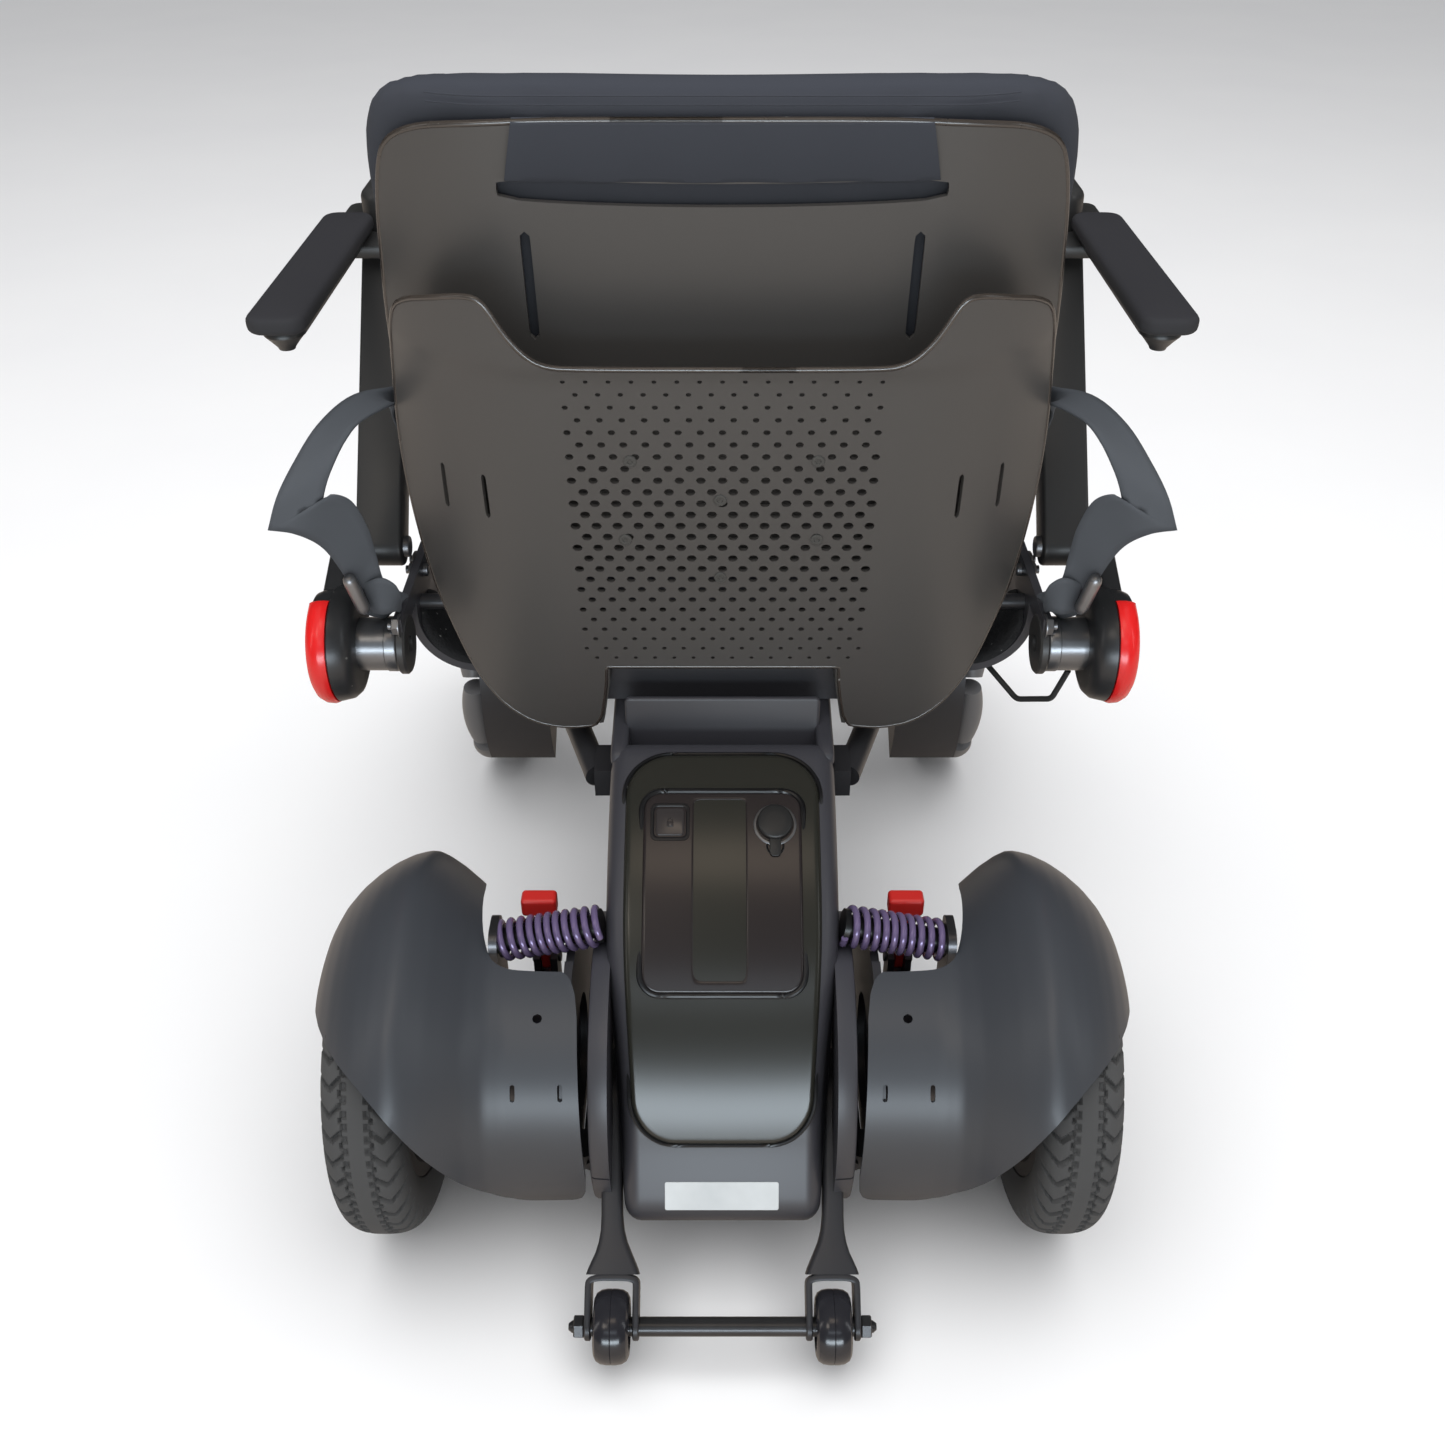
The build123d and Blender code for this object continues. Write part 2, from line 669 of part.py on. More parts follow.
def make_footplate():
    y0 = -half_length
    y1 = footplate_hinge[0] - 20
    z1 = footplate_hinge[1] + 2
    plate = block(-footplate_half_width, footplate_half_width, y0, y1, z1 - footplate_thick, z1)
    plate = fillet(plate.edges().filter_by(Axis.Z), 26)
    knuckle = rod_x(*footplate_hinge, 10, -54, 54)
    web = block(-54, 54, y1, footplate_hinge[0], z1 - footplate_thick, z1)
    knuckle = knuckle + web - rod_x(*footplate_hinge, hinge_pin_radius + run_gap, -80, 80)
    ribs = None
    for i in range(7):
        y = y1 - 18 - 18 * i
        rib = block(-100, 100, y - 2, y + 2, z1 - footplate_thick - 3, z1 - footplate_thick)
        ribs = rib if ribs is None else ribs + rib
    save("footplate", plate + knuckle + ribs)


# ---- Anti-tip wheels ---------------------------------------------------------------------
def make_tip_wheels():
    wheel_y = half_length - tip_wheel_radius
    top = (330.0, 136.0)
    half = tip_arm_thick / 2
    # The arm drops backwards, then opens into a fork round the wheel.
    side = [
        (top[0] - 8, top[1] + 12),
        (top[0] + 30, top[1] + 12),
        (wheel_y - 34, tip_wheel_z + 40),
        (wheel_y - 30, tip_wheel_z + 18),
        (wheel_y - 46, tip_wheel_z + 12),
        (top[0] + 6, top[1] - 30),
        (top[0] - 8, top[1] - 20),
    ]
    bar = slab(outline(side, 5), tip_wheel_x - half, tip_wheel_x + half)
    fork_half = tip_wheel_width / 2 + 2 + tip_fork_plate
    crown = block(
        tip_wheel_x - fork_half, tip_wheel_x + fork_half, wheel_y - 42, wheel_y - 29, tip_wheel_z + 8, tip_wheel_z + 34
    )
    crown = fillet(crown.edges().filter_by(Axis.Z), 5)
    cheeks = None
    for x in (tip_wheel_x - fork_half, tip_wheel_x + fork_half - tip_fork_plate):
        cheek = hull_plate(wheel_y, tip_wheel_z, 12, wheel_y - 34, tip_wheel_z + 20, 11, x, x + tip_fork_plate)
        cheeks = cheek if cheeks is None else cheeks + cheek
    arm = bar + crown + cheeks - rod_x(wheel_y, tip_wheel_z, tip_rod_radius, 0, 200)
    save("anti_tip_arms", arm, other_side(arm))
    rod = rod_x(wheel_y, tip_wheel_z, tip_rod_radius, -tip_rod_half_length, tip_rod_half_length)
    nut_face = extrude(Plane.YZ.offset(99) * Pos(wheel_y, tip_wheel_z) * RegularPolygon(10, 6), amount=8)
    washer = rod_x(wheel_y, tip_wheel_z, 9, tip_wheel_x + fork_half, tip_rod_half_length)
    ends = washer - rod_x(wheel_y, tip_wheel_z, tip_rod_radius - 1, 50, 150) + nut_face
    save("anti_tip_rod", rod + ends + other_side(ends))
    for name, turn in (("left", same_side), ("right", other_side)):
        wheel = rod_x(wheel_y, tip_wheel_z, tip_wheel_radius, tip_wheel_x - tip_wheel_width / 2, tip_wheel_x + tip_wheel_width / 2)
        wheel = fillet(wheel.edges(), 7)
        save(f"{name}_anti_tip_wheel", turn(wheel - rod_x(wheel_y, tip_wheel_z, tip_rod_radius + run_gap, 0, 200)))


def same_side(shape):
    """Leaves a piece where it was drawn."""
    return shape


# ---- Seat --------------------------------------------------------------------------------
def make_cradle():
    """The bent plate that carries the seat: a floor, two cheeks and a lip along the back."""
    w, t = cradle_half_width, cradle_plate
    z0, z1 = cradle_floor_z, cradle_side_top_z
    outer = make_face(Polyline((-w, z1), (-w, z0), (w, z0), (w, z1), close=True))
    outer = fillet(outer.vertices().sort_by(Axis.Y)[:2], 48)
    inner = make_face(Polyline((-w + t, z1 + 1), (-w + t, z0 + t), (w - t, z0 + t), (w - t, z1 + 1), close=True))
    inner = fillet(inner.vertices().sort_by(Axis.Y)[:2], 42)
    depth = cradle_rear_y - cradle_front_y
    shape = extrude(Plane.XZ.offset(-cradle_rear_y) * (outer - inner), amount=depth)
    lip = block(-118, 118, cradle_rear_y - t, cradle_rear_y, z0 - 26, z0 + t)
    lip = fillet(lip.edges().filter_by(Axis.Y).sort_by(Axis.Z)[:2], 12)
    shape = shape + lip
    # The reclined shell's lower corners swing into these two notches.
    relief = block(154, 186, cradle_rear_y - 6.5, cradle_rear_y + 2, z0 - 4, z0 + t + 4)
    shape = shape - relief - other_side(relief)
    anchor = block(w - t, w, 110, 178, 430, z1)
    shape = shape + anchor + other_side(anchor)
    shape = shape - rod_x(pivot_y, pivot_z, pivot_pin_radius + run_gap, -300, 300)
    save("seat_cradle", shape)


    heads = []
    for y, z in ((72, 436), (88, 436)):
        head = rod_x(y, z, 5, w - t - 4, w - t)
        heads.append(fillet(head.edges().sort_by(Axis.X)[:1], 1.5))
    for x in (-160, -85, 85, 160):
        heads_z = cradle_floor_z + t
        heads.append(Pos(x, 80, heads_z + 2) * Cylinder(5, 4))
    sides = [other_side(h) for h in heads[:2]]
    save("cradle_bolts", *heads, *sides)


def make_seat():
    """The pan stands on four feet on the cradle; its cushion lies on it."""
    z0 = floor_to_pan
    half = seat_half_width - 6
    pan = block(-half, half, seat_front_y + 6, seat_rear_y - 4, z0, z0 + pan_thick)
    pan = fillet(pan.edges().filter_by(Axis.Z), 30)
    feet = None
    for x in (-120, 0, 120):
        foot = block(x - 14, x + 14, cradle_front_y + 2, seat_rear_y - 5, cradle_floor_z + cradle_plate, z0)
        feet = foot if feet is None else feet + foot
    rail = None
    for x in (-70, 70):
        bar = block(x - 10, x + 10, seat_front_y + 30, cradle_front_y - part_gap, z0 - 14, z0)
        rail = bar if rail is None else rail + bar
    save("seat_pan", pan + feet + rail)
    z1 = z0 + pan_thick
    cushion = block(-seat_half_width, seat_half_width, seat_front_y, seat_rear_y, z1, z1 + cushion_thickness)
    cushion = fillet(cushion.edges().filter_by(Axis.Z), 32)
    cushion = fillet(cushion.faces().sort_by(Axis.Z)[-1].edges(), 14)
    save("seat_cushion", cushion)


# ---- Backrest ----------------------------------------------------------------------------
def wrap_wall(n, wall, flat_half, radius, angle, low, high):
    """An upright wall whose middle is flat and whose sides bend forwards along arcs."""
    a = radians(angle)
    mid = a / 2

    def on(r, t):
        return (flat_half + r * sin(t), n - radius + r * cos(t))

    def mirrored(p):
        return (-p[0], p[1])

    r0, r1 = radius - wall, radius
    lines = [
        Line((-flat_half, n), (flat_half, n)),
        ThreePointArc(on(r1, 0), on(r1, mid), on(r1, a)),
        Line(on(r1, a), on(r0, a)),
        ThreePointArc(on(r0, a), on(r0, mid), on(r0, 0)),
        Line((flat_half, n - wall), (-flat_half, n - wall)),
        ThreePointArc(mirrored(on(r0, 0)), mirrored(on(r0, mid)), mirrored(on(r0, a))),
        Line(mirrored(on(r0, a)), mirrored(on(r1, a))),
        ThreePointArc(mirrored(on(r1, a)), mirrored(on(r1, mid)), mirrored(on(r1, 0))),
    ]
    return Pos(0, 0, low) * extrude(make_face(Curve() + lines), amount=high - low)


def front_mask(points, depth=400.0):
    """A prism along n that keeps what lies inside an outline drawn in (x, s)."""
    face = outline(points)
    return extrude(Plane.XZ.offset(-depth / 2) * face, amount=depth)


def both_halves(points):
    """Closes an outline given for x above 0 with its mirror image."""
    return points + [(-x, s) for x, s in points[::-1] if x > 0]


def make_lower_shell():
    wall = wrap_wall(
        0, shell_wall, shell_flat_half, shell_wrap_radius, shell_wrap_angle, lower_shell_bottom, lower_shell_top
    )
    low, top = lower_shell_bottom, lower_shell_top
    edge = [
        (86, low + 61),
        (92, low),
        (126, low + 3),
        (160, low + 20),
        (186, low + 66),
        (204, low + 145),
        (210, low + 215),
        (210, top - 26),
        (200, top - 4),
        (172, top),
        (158, top - 8),
        (136, top - 36),
        (122, top - 46),
        (106, top - 49),
    ]
    shell = wall & front_mask(both_halves(edge))
    for x, s in ((178, -78), (156, -87)):
        slot = Pos(x, -30, s) * Box(4, 120, 40)
        shell = shell - slot - other_side(slot)
    save("back_lower_shell", BACK * shell)


def make_upper_shell():
    n = upper_shell_n
    wall = wrap_wall(n, shell_wall, 128, upper_wrap_radius, 35, upper_shell_bottom, upper_shell_top)
    low, top, w = upper_shell_bottom, upper_shell_top, upper_half_width
    face = outline([(-w, low), (w, low), (w, top), (-w, top)])
    face = fillet(face.vertices(), 44)
    shell = wall & extrude(Plane.XZ.offset(-200) * face, amount=400)
    flap_slot = Pos(0, n, 98) * Box(266, 30, 9)
    shell = shell - flap_slot
    for x in (-119, 119):
        slot = Pos(x, n, 20) * Box(8, 30, 120)
        shell = shell - fillet(slot.edges().filter_by(Axis.Y), 3.9)
    save("back_upper_shell", BACK * shell)


def make_back_cushion():
    n1 = upper_shell_n - shell_wall - 0.3
    flat = wrap_wall(n1, back_cushion_thick, 128, upper_wrap_radius - shell_wall - 0.3, 30, upper_shell_bottom + 4, back_cushion_top)
    w = back_cushion_half_width
    face = fillet(outline([(-w, -400), (w, -400), (w, back_cushion_top), (-w, back_cushion_top)]).vertices(), 52)
    cushion = flat & extrude(Plane.XZ.offset(-200) * face, amount=400)
    save("back_cushion", BACK * cushion)


def make_back_brackets():
    """Plates between the two shells, each with a hinge pin into the cradle's cheek."""
    n0 = upper_shell_n + part_gap
    sides = []
    hinge = BACK.inverse() * Pos(0, pivot_y, pivot_z)
    local = hinge.position
    for turn in (same_side, other_side):
        plate = slab(
            outline(
                [
                    (local.Y - 13, local.Z - 12),
                    (local.Y + 13, local.Z - 12),
                    (local.Y + 13, local.Z + 26),
                    (-30, -120),
                    (-30, -20),
                    (n0, -20),
                    (n0, -194),
                    (local.Y - 13, local.Z + 16),
                ],
                3,
            ),
            150,
            155,
        )
        reach = cradle_half_width
        pin = rod_x(local.Y, local.Z, pivot_pin_radius, 155, reach)
        foot = block(112, 150, n0, n0 + 5, -110, -30)
        piece = plate + pin + foot
        for s in (-50, -95):
            piece = piece + rod_y(122, s, 7, n0 + 5, -7)
        sides.append(turn(piece))
    save("back_brackets", *[BACK * s for s in sides])
    screws = []
    for x, s in ((-62, -59), (60, -59), (1, -90), (-64, -123), (66, -123), (1, -156)):
        screws.append(Pos(x, 0.6, s) * Rot(90, 0, 0) * Cylinder(3.6, 1.2))
    save("back_shell_plugs", *[BACK * s for s in screws])


# ---- Armrests ----------------------------------------------------------------------------
def make_arm(name, turn):
    y0, z0 = arm_pin
    y1, z1 = post_top
    post = hull_plate(y0, z0, post_thick * 0.8, y1, z1 - 10, post_thick / 2, post_inner_x, post_outer_x)
    rail_z0 = pad_top_z - pad_thick - rail_thick
    rail_z1 = pad_top_z - pad_thick
    x0, x1 = pad_centre_x - pad_half_width + 3, pad_centre_x + pad_half_width - 3
    rail = block(x0, x1, pad_front_y - 66, pad_rear_y - 8, rail_z0, rail_z1)
    rail = fillet(rail.edges().filter_by(Axis.Z), 6)
    rail = rail + block(pod_inner_x + 8, x0 + 14, pad_front_y - 62, pad_front_y - 4, rail_z0, rail_z1)
    shelf = block(post_inner_x, x1, y1 - 12, y1 + 32, rail_z0, rail_z1)
    shelf = fillet(shelf.edges().filter_by(Axis.Z), 6)
    cone = Pos(pad_centre_x, pad_rear_y - 24, rail_z0 - 7) * Cone(5, 14, 14)
    frame = post + rail + shelf + cone - rod_x(y0, z0, arm_pin_radius + run_gap, 200, 300)
    save(f"{name}_arm_frame", turn(frame))
    pad = block(
        pad_centre_x - pad_half_width, pad_centre_x + pad_half_width, pad_front_y, pad_rear_y, rail_z1, pad_top_z
    )
    pad = fillet(pad.edges().filter_by(Axis.Z), 12)
    pad = fillet(pad.faces().sort_by(Axis.Z)[-1].edges(), 5)
    save(f"{name}_arm_pad", turn(pad))

    lobe = rod_x(*tube_axis, lobe_radius, lobe_inner_x, lobe_outer_x)
    neck = hull_plate(*tube_axis, 26, y0, z0, 15, post_outer_x + body_gap, lobe_outer_x)
    pin = rod_x(y0, z0, arm_pin_radius, post_inner_x - 4, post_outer_x + body_gap)
    bracket = fillet(lobe.edges(), 5) + neck + pin
    w = cradle_half_width
    tube = rod_x(*tube_axis, tube_radius, w, lobe_inner_x)
    foot = hull_plate(*tube_axis, tube_radius, pivot_y, pivot_z, 13, w, w + 5)
    lens_ring = spin_x(
        outline([(275, lobe_radius - 6), (292, lobe_radius - 6), (292, lobe_radius - 1), (288, lobe_radius + 2.5), (275, lobe_radius + 2.5)]),
        *tube_axis,
    )
    lens = lens_ring & sector(*tube_axis, 12, 168, 250, 300)
    save(f"{name}_arm_bracket", turn(bracket + tube + foot - lens))
    save(f"{name}_reflector", turn(lens))


def make_controls():
    """The joystick pod ends the right arm; the switch pod ends the left arm."""
    z0 = pad_top_z - pad_thick
    front = pad_front_y - part_gap
    pod = block(pod_inner_x, pod_outer_x, front - 104, front, z0, z0 + pod_height)
    pod = fillet(pod.edges().filter_by(Axis.Z), 16)
    pod = fillet(pod.faces().sort_by(Axis.Z)[-1].edges(), 8)
    x = (pod_inner_x + pod_outer_x) / 2
    y = front - 62
    top = z0 + pod_height
    socket = Pos(x, y, top - 8) * Cylinder(16, 22)
    save("joystick_housing", other_side(pod - socket))
    gimbal = Pos(x, y, top - 9) * Sphere(9) - Pos(x, y, top - 9) * Rot(90, 0, 0) * Cylinder(3 + run_gap, 30)
    gimbal = gimbal - Pos(x, y, top + 9) * Box(40, 40, 24)
    gimbal = gimbal + rod_x(y, top - 9, 2.5, x - 15.5, x - 7) + rod_x(y, top - 9, 2.5, x + 7, x + 15.5)
    save("joystick_gimbal", other_side(gimbal))
    knob = Pos(x, y, top + 16) * Sphere(17) & Pos(x, y, top + 17) * Box(40, 40, 20)
    pin = Pos(x, y, top - 9) * Rot(90, 0, 0) * Cylinder(3, 24)
    for side in (-10.8, 10.8):
        knob = knob + Pos(x, y + side, top - 2) * Box(4, 2.6, 20)
    knob = knob + pin
    save("joystick_knob", other_side(knob))

    button_well = Pos(x, front - 24, top - 2) * Cylinder(8 + body_gap, 8)
    lever_well = block(x - 9, x + 9, front - 88, front - 50, top - 12, top + 10)
    save("switch_housing", pod - button_well - lever_well)
    button = Pos(x, front - 24, top) * Cylinder(8, 6)
    save("power_button", fillet(button.faces().sort_by(Axis.Z)[-1].edges(), 1))
    pin_y, pin_z = front - 69, top - 7
    wheel = rod_x(pin_y, pin_z, 4.4, x - 8, x + 8)
    paddle = block(x - 6, x + 6, pin_y - 4, pin_y + 4, pin_z, top + 9)
    save("speed_lever", wheel + fillet(paddle.edges().sort_by(Axis.Z)[-4:], 2))


# ---- Seat belt and wiring ----------------------------------------------------------------
def make_belt():
    """The lap belt: webbing from an anchor by each cradle cheek, out, round and over the lap."""
    width, thick = 34.0, 1.8
    lap_z = floor_to_pan + pan_thick + cushion_thickness
    outside = [
        (236, 158, 460),
        (262, 188, 484),
        (292, 198, 508),
        (287, 178, 545),
        (262, 160, 582),
        (230, 146, 600),
        (227, 96, 580),
    ]
    lap = [(227, 96, 580), (226, 56, 530), (222, 10, 490), (196, -34, lap_z + 26), (150, -58, lap_z + 8)]
    lap_end = [(150, -58, lap_z + 8), (60, -64, lap_z + 8)]
    upright = strap(outside, (0, 0.35, 0.94), width, thick)
    middle = strap(lap, (0, 0.95, 0.3), width, thick)
    flat = strap(lap_end, (0, 1, 0), width, thick)
    belt = upright + middle + flat
    save("left_belt", belt)
    save("right_belt", other_side(belt))
    buckle = block(-58, 6, -88, -40, lap_z + 1, lap_z + 19)
    buckle = fillet(buckle.edges().filter_by(Axis.Z), 8)
    tongue = block(7, 58, -84, -44, lap_z + 5, lap_z + 9)
    save("belt_buckle", buckle - block(-60, 0, -80, -48, lap_z + 7, lap_z + 12), tongue - belt)


def make_wiring():
    """The fixed cables: one along the right arm's tube, one down to the control module."""
    arm = pipe([(-204, 110, 366), (-225, 140, 352), (-246, 160, 366), (-254, 164, 394)], 2.2, 9)
    trunk = pipe([(-18, 146, 322), (-18, 156, 306), (-6, 162, 290), (-2, 156, 250)], 3.0, 7)
    save("wiring", arm, trunk)


def main():
    make_housing()
    make_chassis()
    make_battery()
    for name, turn in (("left", same_side), ("right", other_side)):
        make_drive_unit(name, turn)
        make_rear_wheel(name, turn)
        make_front_wheel(name, turn)
        make_arm(name, turn)
    make_front_frame()
    make_footplate()
    make_tip_wheels()
    make_cradle()
    make_seat()
    make_lower_shell()
    make_upper_shell()
    make_back_cushion()
    make_back_brackets()
    make_controls()
    make_belt()
    make_wiring()
    print(len(written), "nodes")
    for label, place in (
        ("battery", BATTERY),
        ("button", cover_frame(38, battery_run + 24)),
        ("cap hinge", cover_frame(-38, battery_run + 26) * Pos(0, cap_radius + 9, 1.5)),
    ):
        print(label, place.position, (place * Pos(0, 0, 1)).position - place.position)


main()
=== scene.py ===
"""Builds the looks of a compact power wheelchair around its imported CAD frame.

Frame: metres, +Z up, the chair faces -Y, +X is the user's left, the origin is on the floor.
Shapes are worked out in millimetres and written to the meshes in metres.
"""

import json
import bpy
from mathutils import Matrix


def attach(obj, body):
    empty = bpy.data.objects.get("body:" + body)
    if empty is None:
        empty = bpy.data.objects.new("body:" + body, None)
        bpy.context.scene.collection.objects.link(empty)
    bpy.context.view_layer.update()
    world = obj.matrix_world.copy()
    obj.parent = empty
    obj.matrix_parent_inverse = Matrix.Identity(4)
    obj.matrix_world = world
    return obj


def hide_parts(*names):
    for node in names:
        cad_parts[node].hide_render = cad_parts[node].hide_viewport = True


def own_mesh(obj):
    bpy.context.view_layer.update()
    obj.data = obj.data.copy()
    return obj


bl_info = {
    "name": "Power Wheelchair",
    "version": (1, 0, 0),
    "blender": (4, 5, 0),
    "location": "3D View > Sidebar > Wheelchair",
    "description": "Builds a compact power wheelchair with omni front wheels",
    "category": "Add Mesh",
}

import bmesh
import bpy
import numpy as np
from mathutils import Vector

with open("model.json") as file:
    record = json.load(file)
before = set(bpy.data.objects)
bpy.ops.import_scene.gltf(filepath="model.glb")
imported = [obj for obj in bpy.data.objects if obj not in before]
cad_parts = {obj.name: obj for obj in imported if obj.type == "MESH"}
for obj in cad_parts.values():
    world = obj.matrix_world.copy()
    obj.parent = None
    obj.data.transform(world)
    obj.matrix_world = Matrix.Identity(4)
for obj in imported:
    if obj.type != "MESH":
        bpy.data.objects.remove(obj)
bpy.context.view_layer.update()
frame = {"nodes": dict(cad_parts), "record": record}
MM = 0.001
SIDES = (("left", 1.0), ("right", -1.0))

# ---- Places shared with the CAD frame, in millimetres ------------------------------------
REAR_AXLE = (295.5, 132.5)
REAR_X = 248.0
BACK_LEAN = np.radians(10.0)
BACK_ORIGIN = (199.5, 631.0)
COVER_TOP = (182.5, 335.0)
COVER_MIDDLE = (300.0, 264.4)
COVER_BOTTOM = (393.0, 137.0)
BATTERY_RUN = 37.0
BATTERY_LENGTH = 147.0
BATTERY_HALF = 58.0
TUBE_AXIS = (165.0, 418.0)
ARM_PIN = (92.0, 458.0)


# ---- Mesh helpers ------------------------------------------------------------------------
def material_of(name):
    """The material under this name.

    Known fault: the imported frame already holds a plain material under each slot name, so a
    finish made here under a slot name is stored as NAME.001, and this gives the plain one.
    Only finishes whose names aren't slot names are really shown.
    """
    return bpy.data.materials[name]


def finish_mesh(obj, sharp=35.0, outward=True):
    """Merges doubles, turns every closed shape outwards and shades it smooth up to an angle."""
    bm = bmesh.new()
    bm.from_mesh(obj.data)
    bmesh.ops.remove_doubles(bm, verts=bm.verts, dist=2e-6)
    if outward:
        bmesh.ops.recalc_face_normals(bm, faces=bm.faces)
    bm.to_mesh(obj.data)
    bm.free()
    obj.data.shade_smooth()
    obj.data.set_sharp_from_angle(angle=np.radians(sharp))
    return obj


def emit(name, verts, faces, finish, body, stands_for=(), sharp=35.0, outward=True, slot=None):
    """Makes a piece from points in millimetres, gives it a finish, and lets it ride on a body."""
    mesh = bpy.data.meshes.new(name)
    mesh.from_pydata((np.asarray(verts, float) * MM).tolist(), [], [list(map(int, f)) for f in faces])
    obj = bpy.data.objects.new(name, mesh)
    bpy.context.scene.collection.objects.link(obj)
    mesh.materials.append(material_of(finish))
    finish_mesh(obj, sharp, outward)
    if body:
        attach(obj, body)
    if stands_for:
        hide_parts(*stands_for)
    if body and (slot or finish in SLOTS):
        slot or finish
    return obj


def thicken(obj, wall, sharp=35.0, bevel=0.0):
    """Gives an open sheet its wall on the inner side, and rounds its edges."""
    solid = obj.modifiers.new("wall", "SOLIDIFY")
    solid.thickness = wall * MM
    solid.offset = -1.0
    solid.use_even_offset = False
    if bevel:
        edge = obj.modifiers.new("edge", "BEVEL")
        edge.width = bevel * MM
        edge.segments = 2
        edge.limit_method = "ANGLE"
        edge.angle_limit = np.radians(50)
    depth = bpy.context.evaluated_depsgraph_get()
    mesh = bpy.data.meshes.new_from_object(obj.evaluated_get(depth))
    obj.modifiers.clear()
    obj.data = mesh
    return finish_mesh(obj, sharp)


def grid_faces(nu, nv, wrap_u=False, wrap_v=False):
    """The quads of a grid of nu by nv points, joined round where it wraps."""
    i = np.arange(nu if wrap_u else nu - 1)
    j = np.arange(nv if wrap_v else nv - 1)
    a, b = np.meshgrid(i, j, indexing="ij")
    c, d = (a + 1) % nu, (b + 1) % nv
    return np.stack([a * nv + b, c * nv + b, c * nv + d, a * nv + d], -1).reshape(-1, 4)


def skin(rings, wrap_u=False, capped=True):
    """Faces over a stack of closed rings, with a flat face on each end."""
    rings = np.asarray(rings, float)
    nu, nv = rings.shape[:2]
    faces = grid_faces(nu, nv, wrap_u, True).tolist()
    if capped and not wrap_u:
        faces.append(list(range(nv))[::-1])
        faces.append([(nu - 1) * nv + k for k in range(nv)])
    return rings.reshape(-1, 3), faces


def joined(*parts):
    """Several point and face lists as one."""
    verts, faces, base = [], [], 0
    for v, f in parts:
        verts.append(np.asarray(v, float))
        faces += [[k + base for k in face] for face in f]
        base += len(v)
    return np.concatenate(verts), faces


def cut_corners(points, rounds=3, closed=True):
    """Chaikin's corner cutting: each round puts points a quarter and three quarters along."""
    p = np.asarray(points, float)
    for _ in range(rounds):
        q = np.roll(p, -1, 0) if closed else p[1:]
        a = p if closed else p[:-1]
        new = np.stack([a * 0.75 + q * 0.25, a * 0.25 + q * 0.75], 1).reshape(-1, p.shape[1])
        p = new if closed else np.concatenate([p[:1], new[1:-1], p[-1:]])
    return p


def smooth_path(points, steps=10):
    """A Catmull-Rom curve through points."""
    p = np.asarray(points, float)
    p = np.concatenate([[2 * p[0] - p[1]], p, [2 * p[-1] - p[-2]]])
    t = np.linspace(0, 1, steps, endpoint=False)[:, None, None]
    a, b, c, d = p[:-3], p[1:-2], p[2:-1], p[3:]
    q = 0.5 * (2 * b + (c - a) * t + (2 * a - 5 * b + 4 * c - d) * t**2 + (3 * b - a - 3 * c + d) * t**3)
    return np.concatenate([q.transpose(1, 0, 2).reshape(-1, p.shape[1]), p[-2:-1]])


def resample(path, count):
    """Points at even distances along a polyline."""
    run = np.concatenate([[0], np.cumsum(np.linalg.norm(np.diff(path, axis=0), axis=1))])
    at = np.linspace(0, run[-1], count)
    return np.stack([np.interp(at, run, path[:, k]) for k in range(path.shape[1])], 1)


def tangents(path):
    """Unit directions along a polyline."""
    t = np.gradient(path, axis=0)
    return t / np.maximum(np.linalg.norm(t, axis=1, keepdims=True), 1e-9)


def tube(path, radius, sides=16, up=(0, 0, 1)):
    """A circle carried along a path; the frame stays square to one fixed direction."""
    path = np.asarray(path, float)
    t = tangents(path)
    side = np.cross(t, np.asarray(up, float))
    side /= np.maximum(np.linalg.norm(side, axis=1, keepdims=True), 1e-9)
    lift = np.cross(side, t)
    a = np.linspace(0, 2 * np.pi, sides, endpoint=False)
    r = np.broadcast_to(np.asarray(radius, float).reshape(-1, 1, 1), (len(path), 1, 1))
    ring = np.cos(a)[None, :, None] * side[:, None] + np.sin(a)[None, :, None] * lift[:, None]
    return skin(path[:, None] + r * ring)


def ring_outline(outline, inset):
    """Moves a closed outline inwards along its normals."""
    p = np.asarray(outline, float)
    t = np.roll(p, -1, 0) - np.roll(p, 1, 0)
    t /= np.maximum(np.linalg.norm(t, axis=1, keepdims=True), 1e-9)
    area = np.sum(p[:, 0] * np.roll(p[:, 1], -1) - np.roll(p[:, 0], -1) * p[:, 1])
    n = np.stack([-t[:, 1], t[:, 0]], 1) * np.sign(area)
    return p + n * inset


def slab(outline, low, high, rounding, place, steps=3, crown=0.0):
    """A flat shape with rounded rims: its outline shrinks along a quarter circle at each face."""
    rings = []
    for k in range(steps + 1):
        a = np.pi / 2 * k / steps
        q = ring_outline(outline, rounding * (1 - np.sin(a)))
        rings.append(np.column_stack([q, np.full(len(q), low + rounding * (1 - np.cos(a)))]))
    for k in range(steps + 1):
        a = np.pi / 2 * k / steps
        q = ring_outline(outline, rounding * (1 - np.cos(a)))
        rings.append(np.column_stack([q, np.full(len(q), high - rounding * (1 - np.sin(a)))]))
    if crown:
        last = rings[-1]
        middle = last.mean(0)
        for share in (0.7, 0.4, 0.15):
            q = middle + (last - middle) * share
            q[:, 2] = high + crown * (1 - share**2)
            rings.append(q)
    rings = np.array(rings)
    v, f = skin(rings)
    return place(v), f


